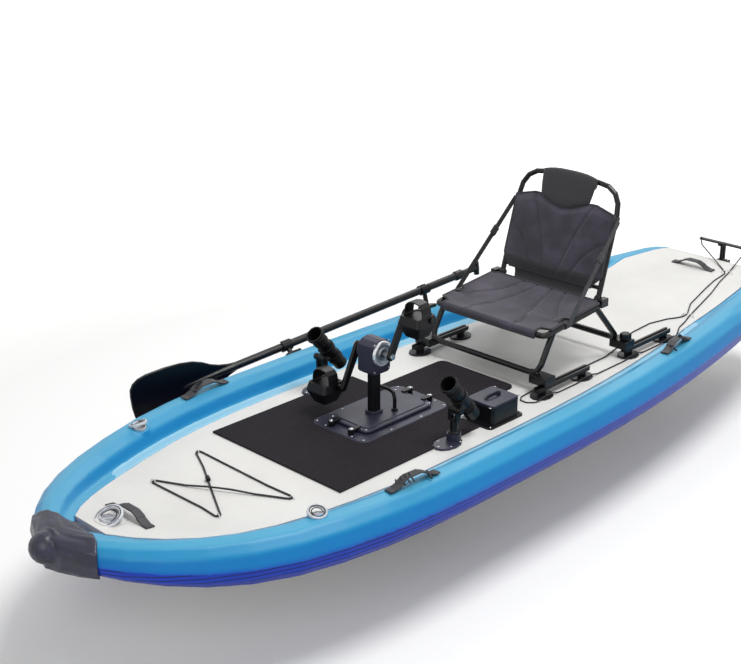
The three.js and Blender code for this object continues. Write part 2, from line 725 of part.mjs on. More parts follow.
const bulb = place(new THREE.SphereGeometry(bumper.bulbRadius, 14, 8),
  shift(bumper.tip - bumper.bulbRadius, 0, bumperHeight));
const bulbRidge = place(turned([[0, -bumper.ridge], [bumper.bulbRadius + bumper.ridge, -bumper.ridge],
  [bumper.bulbRadius + bumper.ridge, bumper.ridge], [0, bumper.ridge]], 14),
chain(shift(bumper.tip - bumper.bulbRadius - bumper.ridgeBack / 2, 0, bumperHeight), turn(Y, 90)));
const rearArc = place(disc(bumper.rearCurve, -hull.bow, hull.bow, 24),
  shift(bumper.rear + bumper.rearCurve, 0, 0));
const bumperForm = cut(
  join(bumperDome(), sideTube(1, bumper.wall), sideTube(-1, bumper.wall), bulb, bulbRidge).intersect(rearArc),
  sideTube(1, gap), sideTube(-1, gap), board(gap),
);
add("bow_bumper", bumperForm, slate);

// A flat bar's section, its thickness across a path's plane normal and its width along it
function roundedBar(thickness, width) {
  const [a, b, c] = [thickness / 2, width / 2, thickness / 4];
  return polygon([[-a, -b + c], [0, -b], [a, -b + c], [a, b - c], [0, b], [-a, b - c]]);
}

// Carry handles: a rubber grip on webbing, arched between two welded pads
function handleForm() {
  const half = handle.length / 2;
  const flat = handle.thickness / 2 + gap;
  const path = bends([
    at(-half - handle.padLength / 2, 0, flat), at(-half + handle.padLength / 4, 0, flat),
    at(-half / 2, 0, flat + handle.rise), at(half / 2, 0, flat + handle.rise),
    at(half - handle.padLength / 4, 0, flat), at(half + handle.padLength / 2, 0, flat),
  ], handle.rise * 1.5, 1);
  return solid(sweep(roundedBar(handle.thickness, handle.width), path));
}
const crossways = turn(Z, 90);
const tubeHandleLean = 5;
for (const [name, frame] of [
  ["bow_handle", chain(deckFrame(handle.bowX, 0), crossways)],
  ["stern_handle", chain(deckFrame(handle.sternX, 0), crossways)],
  ["port_front_handle", tubeFrame(handle.sideX, 1, tubeHandleLean)],
  ["starboard_front_handle", tubeFrame(handle.sideX, -1, tubeHandleLean)],
  ["port_rear_handle", tubeFrame(handle.sideRearX, 1, tubeHandleLean)],
  ["starboard_rear_handle", tubeFrame(handle.sideRearX, -1, tubeHandleLean)],
]) lay(add(name, handleForm(), black), frame);

// Deck pad: a T-shaped foam sheet, cut round the well and the rod holders
const { front, rear, step, halfWide: wide, halfNarrow: narrow, corner } = pad;
const padShape = polygon([[rear + corner, -narrow], [step, -narrow], [step, -wide], [front, -wide],
  [front, wide], [step, wide], [step, narrow], [rear + corner, narrow]]);
padShape.absarc(rear + corner, narrow - corner, corner, Math.PI / 2, Math.PI);
padShape.lineTo(rear, -narrow + corner);
padShape.absarc(rear + corner, -narrow + corner, corner, Math.PI, 1.5 * Math.PI);
const padLow = deck + gap;
const margin = 3 * gap;
const tall = 2 * deck;
const wellOpening = place(
  slab(roundedRect(well.flangeLength + 2 * margin, well.flangeWidth + 2 * margin, well.corner), tall),
  shift(well.x, 0, deck - overrun),
);
const footOpening = (side) => place(
  slab(oval(rod.footLength + 2 * margin, rod.footWidth + 2 * margin), tall, 0, 12),
  shift(rod.x + rod.footAhead, side * rod.y, deck - overrun),
);
add("deck_pad", cut(
  place(slab(padShape, pad.thickness, pad.bevel), shift(0, 0, padLow)),
  wellOpening, footOpening(1), footOpening(-1),
), foam);

// Well frame: a moulded trunk through the board with a flange that carries the drive
const flangeTop = deck + gap + well.flangeThickness;
const wellBox = (grow, low, high) => block(
  at(well.x - well.length / 2 - grow, -well.width / 2 - grow, low),
  at(well.x + well.length / 2 + grow, well.width / 2 + grow, high),
);
add("well_frame", cut(
  join(
    place(slab(roundedRect(well.flangeLength, well.flangeWidth, well.corner), well.flangeThickness,
      well.bevel),
      shift(well.x, 0, deck + gap)),
    wellBox(well.wall, gap, deck + well.wall),
  ),
  wellBox(0, -overrun, tall),
), slate);

// Drive plate: it drops into the well on a plug and carries the column in a socket
const plateLow = flangeTop + gap;
const plateTop = plateLow + plate.thickness;
const panelTop = plateTop + plate.rim;
const columnShape = (grow) => roundedRect(
  drive.columnDepth + 2 * grow, drive.columnWidth + 2 * grow, drive.columnCorner + grow);
const plugLow = plateLow - plate.plugDepth;
const plugWall = well.wall * 3;
const plugEnd = (well.length - well.wall) / 2;
const plugSide = (well.width - plate.bevel) / 2;
const pocket = (from, to) => block(
  at(from, -plugSide + plugWall / 2, plugLow - overrun), at(to, plugSide - plugWall / 2,
    plateLow - plate.bevel));
const bossWall = plate.rimWidth;
add("drive_plate", cut(
  join(
    place(slab(roundedRect(plate.length, plate.width, plate.corner), plate.thickness, plate.bevel),
      shift(well.x, 0, plateLow)),
    place(slab(roundedRect(plate.length - 4 * plate.rimWidth, plate.width - 4 * plate.rimWidth, plate.corner),
      2 * plate.rim, plate.rim / 2), shift(well.x, 0, panelTop - 2 * plate.rim)),
    block(at(well.x - plugEnd, -plugSide, plugLow), at(well.x + plugEnd, plugSide, plateLow + plate.bevel)),
    place(slab(columnShape(bossWall), plate.bossHeight + plate.rim, plate.rim / 2),
      shift(drive.x, 0, panelTop - plate.rim)),
  ),
  place(slab(columnShape(gap), tall), shift(drive.x, 0, panelTop)),
  place(disc(drive.shaftRadius + play, 0, tall, 10), shift(drive.x, 0, plugLow - overrun)),
  pocket(well.x - plugEnd + plugWall / 2, drive.x - drive.legLength / 2 - plugWall / 2),
  pocket(drive.x + drive.legLength / 2 + plugWall / 2, well.x + plugEnd - plugWall / 2),
), slate);

// Swivel latches that hold the plate down
const latchForm = join(
  place(slab(roundEndedBar(latch.reach - latch.width / 2, latch.bossRadius, latch.width / 2),
    latch.thickness, 0, 4),
    shift(0, 0, plateTop - flangeTop)),
  solid(disc(latch.bossRadius * 0.9, gap, plateTop - flangeTop + latch.thickness / 2, 12)),
);
const latchGap = plate.length / 2 + latch.inset;
for (const [name, end, side] of [
  ["front_port_latch", 1, 1], ["front_starboard_latch", 1, -1],
  ["rear_port_latch", -1, 1], ["rear_starboard_latch", -1, -1],
]) {
  const form = end > 0 ? latchForm.rotate([0, 0, 180]) : latchForm;
  add(name, form, black).position.set(well.x + end * latchGap, side * latch.spread, flangeTop + gap);
}

// Lift handle: an arch across the plate behind the column
const driveUnit = groupAt(drive.x, 0, deck);
const handleFoot = panelTop - deck + gap;
const handleMiddle = (liftHandle.port + liftHandle.starboard) / 2;
const handleArch = [[liftHandle.port, handleFoot], [liftHandle.port, liftHandle.height],
  [liftHandle.starboard, liftHandle.height], [liftHandle.starboard, handleFoot]].map(([y, z]) => at(0, y, z));
add("lift_handle", join(
  bentTube(handleArch, liftHandle.radius, liftHandle.bend, 8, 2),
  ...[liftHandle.port, liftHandle.starboard].map((y) =>
    place(disc(liftHandle.radius * 1.7, handleFoot, handleFoot + liftHandle.radius, 10), shift(0, y, 0))),
).translate([0, -handleMiddle, 0]), black, driveUnit).position.set(liftHandle.x, handleMiddle, 0);

// Column and gear head
const columnLow = panelTop - deck + gap;
const columnHigh = drive.columnTop + drive.columnCorner;
add("drive_column", cut(
  place(slab(columnShape(0), columnHigh - columnLow), shift(0, 0, columnLow)),
  place(slab(columnShape(-drive.columnWall), tall), shift(0, 0, columnLow - overrun)),
), slate, driveUnit);

function headShape(inset, low) {
  const [a, high] = [drive.headLength / 2 - inset, drive.headCentre + drive.headHeight / 2 - inset];
  const c = drive.headChamfer - inset / 2;
  const d = c / 2;
  const dome = (drive.headHeight / 30) - inset / 8;
  return polygon([[-a + d, low], [a - d, low], [a, low + d], [a, high - c], [a - c, high - dome],
    [0, high], [-a + c, high - dome], [-a, high - c], [-a, low + d]]);
}
const acrossY = (geometry, thickness) => place(geometry, chain(turn(X, 90), shift(0, 0, -thickness / 2)));
const headLow = drive.headCentre - drive.headHeight / 2;
const headFloor = columnHigh + drive.headWall * 1.5;
const insideWidth = drive.headWidth - 2 * drive.headWall;
const spindleAxis = (radius, low, high, segments = 20) =>
  place(disc(radius, low, high, segments), chain(shift(0, 0, drive.spindleHeight), turn(X, -90)));
const starboardBoss = drive.capRadius * 0.85;
add("gear_head", cut(
  join(
    acrossY(slab(headShape(0, headLow), drive.headWidth, drive.headWall * 0.6), drive.headWidth),
    spindleAxis(starboardBoss, -drive.headWidth / 2 - drive.capThickness, 0, 16),
  ),
  acrossY(slab(headShape(drive.headWall, headFloor), insideWidth), insideWidth),
  spindleAxis(drive.spindleRadius + play, -drive.headWidth, drive.headWidth, 12),
  place(slab(columnShape(gap), columnHigh + gap - headLow + overrun), shift(0, 0, headLow - overrun)),
  place(disc(drive.shaftRadius + play, headLow, headFloor + overrun, 10), shift(0, 0, 0)),
), slate, driveUnit);

const capFace = drive.headWidth / 2 + gap;
const capBore = drive.spindleRadius + 2 * play;
const capDeep = drive.capThickness;
add("bearing_cap", place(turned([
  [capBore, 0], [drive.capRadius, 0], [drive.capRadius, capDeep * 0.7], [drive.capRadius - capDeep / 2,
    capDeep],
  [drive.capRadius - capDeep * 1.6, capDeep], [drive.capRadius - capDeep * 2, capDeep * 0.6],
    [capBore + capDeep * 1.4, capDeep * 0.6],
  [capBore + capDeep, capDeep], [capBore, capDeep], [capBore, 0],
], 18), chain(shift(0, capFace, drive.spindleHeight), turn(X, -90))), silver, driveUnit);

// Bevel gears: rings of teeth on spheres about the apex both axes pass through
const toothOutlineShares = [[-0.12, 2], [0.12, 2], [0.5, -5.5]]; // of a pitch; degrees off it
const faceShare = 0.72;
function bevelGear(teeth, mate, reach, phase) {
  const pitchAngle = Math.atan2(teeth, mate) / RAD;
  const ring = (distance) => Array.from({ length: teeth }, (_, i) => toothOutlineShares.map(([share,
    lift]) => {
    const around = ((i + share + phase) * TURN) / teeth;
    const polar = (pitchAngle + lift) * RAD;
    return at(Math.sin(polar) * Math.cos(around), Math.sin(polar) * Math.sin(around), Math.cos(polar))
      .multiplyScalar(distance);
  })).flat();
  const rootCosine = Math.cos((pitchAngle + toothOutlineShares[2][1]) * RAD);
  return loft([ring(reach), ring(reach * faceShare)],
    [at(0, 0, reach * rootCosine), at(0, 0, reach * faceShare * rootCosine)]);
}
const crankTeeth = 24;
const pinionTeeth = 6;
const shaftTeeth = 12;
const propellerTeeth = 6;

const crank = new THREE.Group();
crank.position.set(0, 0, drive.spindleHeight);
driveUnit.add(crank);
add("crank_spindle", join(
  place(disc(drive.spindleRadius, -drive.spindleReach, drive.spindleReach, 12), turn(X, -90)),
  place(bevelGear(crankTeeth, pinionTeeth, drive.bevelReach, 0), turn(X, -90)),
), steel, crank);

// Crank arms, each with its pedal pin
const armOuter = drive.crankInner + drive.crankThickness;
const pedalOuter = pedal.inner + pedal.width;
const pinFlange = pedal.pinRadius * 0.5;
function crankArm(side) {
  const arm = place(slab(roundEndedBar(drive.crankLength, drive.crankBoss, drive.crankWidth / 2),
    drive.crankThickness,
    drive.crankThickness / 6), chain(turn(X, 90), shift(0, 0, -armOuter)));
  const pin = place(disc(pedal.pinRadius, armOuter - overrun, pedalOuter + play + pinFlange, 8),
    chain(shift(drive.crankLength, 0, 0), turn(X, -90)));
  const head = place(disc(pedal.pinRadius * 1.5, pedalOuter + play, pedalOuter + play + pinFlange, 10),
    chain(shift(drive.crankLength, 0, 0), turn(X, -90)));
  const collar = place(disc(pedal.pinRadius * 1.5, armOuter - overrun, pedal.inner - play, 10),
    chain(shift(drive.crankLength, 0, 0), turn(X, -90)));
  const bore = place(disc(drive.spindleRadius + gap, 0, drive.spindleReach * 2, 12), turn(X, -90));
  const whole = cut(join(arm, pin, head, collar), bore);
  return side > 0 ? whole : whole.mirror([0, 1, 0]);
}
const armAngles = { port: drive.crankAngle + 180, starboard: drive.crankAngle };
for (const [name, side] of [["port", 1], ["starboard", -1]]) {
  add(`${name}_crank_arm`, crankArm(side), black, crank).rotation.set(0, armAngles[name] * RAD, 0);
}

// Pedals: a deep body, widest at its rim below the tread, with a strap arched over the foot
const pedalShares = { base: 0.6, tread: 0.86, recess: 0.74 };
function pedalForm() {
  const { length, width, wall, toe, treadHeight, rimDrop, depth } = pedal;
  const outline = roundedRect(length, width, wall * 2).getPoints(2).slice(0, -1);
  const section = (height, scale) => outline.map((p) => at(p.x * scale + toe, p.y * scale, height));
  const body = solid(loft([section(treadHeight - depth, pedalShares.base), section(-rimDrop - wall / 2, 1),
    section(-rimDrop, 1), section(treadHeight, pedalShares.tread)]));
  const floor = treadHeight - wall / 2;
  const recess = solid(loft([section(floor, pedalShares.recess), section(treadHeight + overrun,
    pedalShares.recess)]));
  const half = (width * pedalShares.tread - pedal.strapThickness) / 2;
  const strap = solid(sweep(roundedBar(pedal.strapThickness, pedal.strapWidth), bends([
    at(toe, half, -rimDrop), at(toe, half, pedal.strapReach), at(toe, -half, pedal.strapReach), at(toe,
      -half, -rimDrop),
  ], pedal.strapReach * 0.6, 3)));
  const bore = place(disc(pedal.pinRadius + play, -width, width, 8), turn(X, -90));
  return cut(join(cut(body, recess), strap), bore);
}
const pedalBody = pedalForm();
for (const [name, side] of [["port", 1], ["starboard", -1]]) {
  const angle = armAngles[name] * RAD;
  add(`${name}_pedal`, pedalBody, black, crank).position.set(
    Math.cos(angle) * drive.crankLength, side * (pedal.inner + pedal.width / 2),
      -Math.sin(angle) * drive.crankLength);
}

// Drive shaft down the leg, with a pinion at each end
const shaftTop = drive.spindleHeight - drive.bevelReach * 0.98;
add("drive_shaft", join(
  solid(disc(drive.shaftRadius, -drive.propDepth + drive.lowerReach * 0.46, shaftTop, 10)),
  place(bevelGear(pinionTeeth, crankTeeth, drive.bevelReach, 0), chain(shift(0, 0, drive.spindleHeight),
    turn(X, 180))),
  place(bevelGear(shaftTeeth, propellerTeeth, drive.lowerReach, 0), shift(0, 0, -drive.propDepth)),
), steel, driveUnit);

// Lower gear case: leg, torpedo and skeg
const legTop = plugLow - deck - gap;
const caseTail = drive.caseNose - drive.caseLength;
const chamber = drive.caseRadius * 0.7;
const onPropAxis = (geometry) => place(geometry, chain(shift(0, 0, -drive.propDepth), turn(Y, 90)));
const caseWide = drive.caseRadius;
add("lower_gearcase", cut(
  join(
    place(slab(oval(drive.legLength, drive.legWidth), drive.propDepth + legTop, 0, 8), shift(0, 0,
      -drive.propDepth)),
    onPropAxis(turned([[0, caseTail], [caseWide * 0.66, caseTail], [caseWide * 0.9, caseTail * 0.7],
      [caseWide, caseTail * 0.3],
      [caseWide, drive.caseNose * 0.35], [caseWide * 0.82, drive.caseNose * 0.7], [caseWide * 0.45,
        drive.caseNose * 0.93],
      [0, drive.caseNose]], 16)),
    acrossY(slab(polygon([[-caseWide / 2, -drive.propDepth], [caseTail * 0.85, -drive.propDepth],
      [caseTail * 0.8, -drive.propDepth - caseWide * 2.6], [caseTail * 0.5,
        -drive.propDepth - caseWide * 2.8]]),
    drive.legWidth * 0.25), drive.legWidth * 0.25),
  ),
  onPropAxis(disc(chamber, -chamber * 1.25, chamber * 0.95, 12)),
  onPropAxis(disc(drive.prop.shaftRadius + play, caseTail - overrun, 0, 10)),
  place(disc(drive.shaftRadius + play, -drive.propDepth, legTop + overrun, 10), shift(0, 0, 0)),
), black, driveUnit);

// Propeller with its shaft and gear
function propellerForm() {
  const { radius, hubRadius, hubLength, rootChord, tipChord, thickness, shaftRadius } = drive.prop;
  const hubFront = caseTail - gap;
  const hub = place(turned([[0, hubFront - hubLength], [hubRadius * 0.5, hubFront - hubLength * 0.95],
    [hubRadius, hubFront - hubLength * 0.6], [hubRadius, hubFront], [0, hubFront]], 14), turn(Y, 90));
  const shaft = place(disc(shaftRadius, hubFront - overrun, -drive.lowerReach * 0.8, 8), turn(Y, 90));
  const gear = place(bevelGear(propellerTeeth, shaftTeeth, drive.lowerReach, 0.5), turn(Y, -90));
  const middle = hubFront - hubLength * 0.42;
  const section = (height, chord, pitchAngle, thick) => {
    const lens = [[-0.5, 0], [-0.2, 0.5], [0.25, 0.4], [0.5, 0], [0.25, -0.3], [-0.2, -0.4]];
    return lens.map(([along, up]) => {
      const [a, b] = [along * chord, up * thick];
      const [c, q] = [Math.cos(pitchAngle * RAD), Math.sin(pitchAngle * RAD)];
      return at(middle + a * q + b * c, a * c - b * q, height);
    });
  };
  const blade = solid(loft([
    section(hubRadius * 0.6, rootChord * 0.8, 58, thickness * 1.4), section(radius * 0.4, rootChord, 46,
      thickness * 1.2),
    section(radius * 0.65, tipChord, 34, thickness), section(radius * 0.87, tipChord * 0.9, 27,
      thickness * 0.8),
    section(radius, tipChord * 0.45, 24, thickness * 0.6),
  ]));
  return join(hub, shaft, gear, blade, blade.rotate([180, 0, 0]));
}
add("propeller", propellerForm(), black, driveUnit).position.set(0, 0, -drive.propDepth);

// Rod holders: a foot, an arm that swivels on it and a tube that tilts between the arm's cheeks
const facingX = turn(Y, 90);
const facingY = turn(X, -90);
for (const [name, side] of [["port", 1], ["starboard", -1]]) {
  const holder = groupAt(rod.x, side * rod.y, deck);
  const hubTop = gap + rod.footThickness + rod.hubHeight;
  const hubBottom = gap + rod.footThickness / 2;
  add(`${name}_rod_foot`, cut(
    join(
      place(slab(oval(rod.footLength, rod.footWidth), rod.footThickness, rod.footThickness / 4, 6),
        shift(rod.footAhead, 0, gap)),
      solid(disc(rod.hubRadius, hubBottom, hubTop, 12)),
    ),
    solid(disc(rod.spigotRadius + play, hubBottom + rod.footThickness, hubTop + overrun, 10)),
  ), black, holder);

  const armLow = hubTop + gap;
  const yokeTop = rod.pivotHeight - rod.eye * 2.6;
  const across = rod.jaw / 2 + rod.cheek;
  const cheek = (from) => acrossY(slab(roundEndedBar(rod.pivotHeight - yokeTop, rod.eye, rod.eye),
    rod.cheek, 0, 4), rod.cheek)
    .rotate([0, -90, 0]).translate([0, from, yokeTop]);
  const pivotPin = (radius, from, to, sides) => place(disc(radius, from, to, sides),
    chain(shift(0, 0, rod.pivotHeight), facingY));
  add(`${name}_rod_arm`, join(
    solid(turned([[0, hubBottom + rod.footThickness + gap], [rod.spigotRadius,
      hubBottom + rod.footThickness + gap],
      [rod.spigotRadius, armLow], [rod.flangeRadius, armLow], [rod.flangeRadius,
        armLow + rod.footThickness / 2],
      [rod.armRadius, armLow + rod.footThickness], [rod.armRadius, yokeTop - rod.cheek / 2],
      [0, yokeTop - rod.cheek / 2]], 10)),
    block(at(-rod.eye, -across, yokeTop - rod.cheek), at(rod.eye, across, yokeTop)),
    cheek(-across + rod.cheek / 2), cheek(across - rod.cheek / 2),
    pivotPin(rod.pivotRadius, -across - rod.pivotRadius, across + rod.pivotRadius, 8),
    pivotPin(rod.knobRadius, side > 0 ? across : -across - rod.knobLength,
      side > 0 ? across + rod.knobLength : -across, 10),
  ), black, holder);

  const half = rod.tubeHalf;
  const inner = rod.tubeRadius - rod.tubeWall;
  const lugHalf = rod.jaw / 2 - gap;
  const cup = turned([[0, -half], [rod.tubeRadius - rod.tubeWall, -half], [rod.tubeRadius,
    -half + rod.tubeWall],
    [rod.tubeRadius, half - rod.mouthLength], [rod.mouthRadius, half - rod.mouthLength / 3],
      [rod.mouthRadius, half],
    [rod.mouthRadius - rod.tubeWall, half], [inner, half - rod.mouthLength], [inner, -half + rod.tubeWall],
    [0, -half + rod.tubeWall]], 12);
  const rodTube = cut(
    join(
      place(cup, shift(-rod.saddle, 0, 0)),
      place(disc(rod.eye, -lugHalf, lugHalf, 10), facingY),
      block(at(-rod.saddle + inner + 1.5 * gap, -lugHalf, -rod.eye), at(0, lugHalf, rod.eye)),
    ),
    place(disc(rod.pivotRadius + play, -rod.jaw, rod.jaw, 8), facingY),
  );
  const tube = add(`${name}_rod_tube`, rodTube, black, holder);
  tube.position.set(0, 0, rod.pivotHeight);
  tube.rotation.set(0, (90 - rod.tilt) * RAD, 0);
}

// Accessory box with a hinged lid
const boxGroup = groupAt(box.x, box.y, deck);
const boxTop = gap + box.height;
const boxRear = -box.length / 2;
const hingeX = boxRear - box.hingeBack;
const hingeAxis = (radius, from, to, sides) => place(disc(radius, from, to, sides),
  chain(shift(hingeX, 0, boxTop), facingY));
const boxLug = (from) => join(
  hingeAxis(box.hingeRadius, from, from + box.lug, 10),
  block(at(hingeX, from, boxTop - 2.4 * box.hingeRadius), at(boxRear + box.wall / 2, from + box.lug, boxTop)),
);
add("box_body", cut(
  join(
    place(slab(roundedRect(box.flangeLength, box.flangeWidth, box.corner * 1.6), box.flangeThickness, 0, 3),
      shift(0, 0, gap)),
    place(slab(roundedRect(box.length, box.width, box.corner), box.height, 0, 2), shift(0, 0, gap)),
    boxLug(box.lugInner), boxLug(-box.lugInner - box.lug),
    hingeAxis(box.hingePin, -box.lugInner - box.lug, box.lugInner + box.lug, 10),
  ),
  place(slab(roundedRect(box.length - 2 * box.wall, box.width - 2 * box.wall, box.corner - box.wall), tall,
    0, 2),
    shift(0, 0, box.flangeThickness + box.wall)),
), slate, boxGroup);

const lidLow = boxTop + gap;
const lidHigh = lidLow + box.lidThickness;
const lipLength = box.length - 2 * box.wall - 4 * play;
const lipWidth = box.width - 2 * box.wall - 4 * play;
const knuckle = box.lugInner - play;
const lid = cut(
  join(
    place(slab(roundedRect(box.length, box.width, box.corner), box.lidThickness, box.wall / 2, 2), shift(0,
      0, lidLow)),
    place(slab(roundedRect(lipLength, lipWidth, box.corner / 2), box.lip + box.wall, 0, 1), shift(0, 0,
      lidLow - box.lip)),
    block(at(hingeX, -knuckle, boxTop + gap), at(boxRear + box.wall, knuckle, boxTop + box.hingeRadius)),
    hingeAxis(box.hingeRadius, -knuckle, knuckle, 10),
  ),
  place(slab(roundedRect(lipLength - 2 * box.wall, lipWidth - 2 * box.wall, box.corner / 2),
    box.lip + overrun, 0, 1),
    shift(0, 0, lidLow - box.lip - overrun)),
  place(slab(roundedRect(box.gripLength * 0.8, box.gripWidth * 2.2, box.corner), box.lidThickness, 0, 2),
    shift(0, 0, lidHigh - box.recess)),
  hingeAxis(box.hingePin + play, -box.width, box.width, 10),
);
const lidGrip = solid(sweep(roundedBar(box.gripThickness, box.gripWidth), [
  at(-box.gripLength / 2, 0, lidHigh - box.gripThickness / 4), at(-box.gripLength / 3, 0,
    lidHigh + box.gripRise),
  at(box.gripLength / 3, 0, lidHigh + box.gripRise), at(box.gripLength / 2, 0,
    lidHigh - box.gripThickness / 4),
]));
add("box_lid", join(lid, lidGrip).translate([-hingeX, 0, -boxTop]), slate, boxGroup)
  .position.set(hingeX, 0, boxTop);

// Seat tracks: a slotted rail on two posts with oval bases
const railLength = track.baseGap + 2 * track.railOverhang;
const postTop = gap + track.baseThickness + track.postHeight;
const trackForm = cut(
  join(
    ...[-1, 1].flatMap((end) => [
      place(slab(oval(track.baseLength, track.baseWidth), track.baseThickness, 0, 6),
        shift(end * track.baseGap / 2, 0, gap)),
      place(disc(track.postRadius, track.baseThickness / 2, postTop + track.railHeight / 4, 8),
        shift(end * track.baseGap / 2, 0, 0)),
    ]),
    place(slab(roundedRect(railLength, track.railWidth, track.railWidth / 3), track.railHeight, 0, 1),
      shift(0, 0, postTop)),
  ),
  block(at(-railLength, -track.slotWidth / 2, trackTop - track.slotDepth), at(railLength,
    track.slotWidth / 2, tall)),
);
for (const [name, x, side] of [
  ["port_front_track", track.frontX, 1], ["starboard_front_track", track.frontX, -1],
  ["port_rear_track", track.rearX, 1], ["starboard_rear_track", track.rearX, -1],
]) add(name, trackForm, black).position.set(x, side * track.y, deck);

// Seat base: two leg bows and a rail loop on four foot blocks that slide in the tracks
const seatGroup = groupAt(0, 0, deck);
const legBow = (topX, topZ, footX) => bentTube([
  at(topX, -seat.halfWidth, topZ), at(footX, -seat.halfWidth, seat.footHeight),
  at(footX, seat.halfWidth, seat.footHeight), at(topX, seat.halfWidth, topZ),
], seat.tube, seat.bend, 8, 2);
const railHeight = (x) => seat.railFront
  + ((seat.railRear - seat.railFront) * (x - seat.railFrontX)) / (seat.railRearX - seat.railFrontX);
const railCorners = [[seat.railFrontX, 1], [seat.railFrontX, -1], [seat.railRearX, -1], [seat.railRearX, 1]]
  .map(([x, side]) => at(x, side * seat.halfWidth, railHeight(x)));
const railLoop = cordLoop(bends(railCorners, seat.railBend, 3, true), seat.tube, 8);
const footSlots = [];
for (const x of [seat.frontFootX, seat.rearFootX]) {
  for (const side of [1, -1]) {
    const [near, far] = [side * seat.footInner, side * seat.footOuter].sort((a, b) => a - b);
    const [left, right] = [-1, 1].map((end) => side * track.y + end * (track.slotWidth / 2 - play));
    footSlots.push(block(at(x - seat.footLength / 2, near, trackTop + gap), at(x + seat.footLength / 2,
      far, seat.footTop)));
    footSlots.push(block(at(x - seat.tongueBack, left, trackTop - track.slotDepth * 0.75),
      at(x + seat.tongueAhead, right, trackTop + track.slotDepth / 2)));
  }
}
const hingeHeight = seat.railRear + seat.hingeRise;
const hingeBlocks = [1, -1].flatMap((side) => {
  const [near, far] = [side * (seat.halfWidth - seat.tube), side * (seat.halfWidth + seat.tube)].sort((a,
    b) => a - b);
  const [inner, outer] = [side * (seat.hoopHalf - seat.eyeRadius), side * seat.halfWidth].sort((a,
    b) => a - b);
  return [
    block(at(seat.hingeX - seat.hingeBlock, near, seat.railRear - seat.tube / 2),
      at(seat.railRearX, far, hingeHeight + seat.hingeRadius * 2)),
    place(disc(seat.hingeRadius, inner, outer, 10), chain(shift(seat.hingeX, 0, hingeHeight), facingY)),
  ];
});
const lockX = seat.rearFootX;
const lockY = track.y - seat.tongueAhead / 4;
add("seat_base_frame", cut(
  join(
    railLoop, legBow(seat.frontTopX, railHeight(seat.frontTopX), seat.frontFootX),
    legBow(seat.rearTopX, railHeight(seat.rearTopX), seat.rearFootX), ...footSlots, ...hingeBlocks,
  ),
  place(disc(knob.stemRadius + play, seat.footTop - knob.stemLength - gap, tall, 12), shift(lockX, lockY, 0)),
), black, seatGroup);

// Lock knob on the rear port foot
const fluted = polygon(Array.from({ length: 2 * knob.flutes }, (_, i) => {
  const [angle, reach] = [(i * Math.PI) / knob.flutes, i % 2 ? knob.radius * 0.82 : knob.radius];
  return [reach * Math.cos(angle), reach * Math.sin(angle)];
}));
add("seat_lock_knob", join(
  place(slab(fluted, knob.height, knob.radius / 8, 1), shift(0, 0, gap)),
  solid(disc(knob.stemRadius, -knob.stemLength, knob.height / 2, 12)),
), black, seatGroup).position.set(lockX, lockY, seat.footTop);

// A cushion on a grid: its outline, crown and channels are functions of two shares
function cushion(us, vs, point) {
  const rings = vs.map((v) => [
    ...us.map((u) => point(u, v, 1)),
    ...[...us].reverse().map((u) => point(u, v, -1)),
  ]);
  const faces = [];
  const positions = rings.flat();
  const count = us.length * 2;
  for (let i = 0; i < vs.length - 1; i += 1) {
    for (let k = 0; k < count; k += 1) {
      const next = (k + 1) % count;
      const [a, b, c, d] = [i * count + k, i * count + next, (i + 1) * count + next, (i + 1) * count + k];
      faces.push(a, b, c, a, c, d);
    }
  }
  for (const [i, flip] of [[0, true], [vs.length - 1, false]]) {
    for (let k = 0; k < us.length - 1; k += 1) {
      const [a, b] = [i * count + k, i * count + k + 1];
      const [c, d] = [i * count + count - 2 - k, i * count + count - 1 - k];
      faces.push(...(flip ? [a, c, b, a, d, c] : [a, b, c, a, c, d]));
    }
  }
  const geometry = new THREE.BufferGeometry();
  geometry.setAttribute("position", new THREE.Float32BufferAttribute(positions.flatMap((p) => [p.x, p.y,
    p.z]), 3));
  geometry.setIndex(faces);
  return solid(geometry);
}
const channelShares = [-0.66, -0.34, 0, 0.34, 0.66];
const channelHalfShare = 0.035;
const cushionUs = [-1, -0.93, ...channelShares.flatMap((c) => [c - channelHalfShare, c,
  c + channelHalfShare]), 0.93, 1];
const inChannel = (u) => (channelShares.some((c) => Math.abs(c - u) < channelHalfShare / 2) ? 1 : 0);
const crown = (u) => (1 - u ** 6);
// Lines fan out from the foot of the cushion: crowded together there and spread at the far end
const fan = (u, v) => Math.sign(u) * Math.abs(u) ** (1 + 1.1 * (1 - v));

// Seat panel: it lies on the rail loop and sags inside it, notched for the hinges and straps
const panelVs = [0, 0.08, 0.2, 0.4, 0.6, 0.8, 0.92, 1];
const panelFront = seat.railFrontX + seat.panelOverhang;
const panelRear = seat.railRearX - seat.panelOverhang;
const rimShare = 0.92;
const rowShare = 0.1;
const bandSides = 8;
const bandInner = (tube) => (tube + gap) / Math.cos(Math.PI / bandSides);
const panelForm = cushion(cushionUs, panelVs, (u, v, face) => {
  const x = panelRear + (panelFront - panelRear) * v;
  const rimmed = Math.abs(u) > rimShare;
  const held = rimmed || v < rowShare || v > 1 - rowShare;
  const y = (rimmed ? u : fan(u, v * 0.8 + 0.2) * rimShare) * seat.panelHalf;
  const end = held ? 0 : Math.sin(Math.PI * v) ** 0.5;
  const low = railHeight(x) + seat.tube + gap - seat.panelSag * crown(u) * end;
  const thick = seat.panelThickness * (0.45 + 0.55 * crown(u) * end);
  return at(x, y, face > 0 ? low + thick - (held ? 0 : inChannel(u) * seat.channel) : low);
});
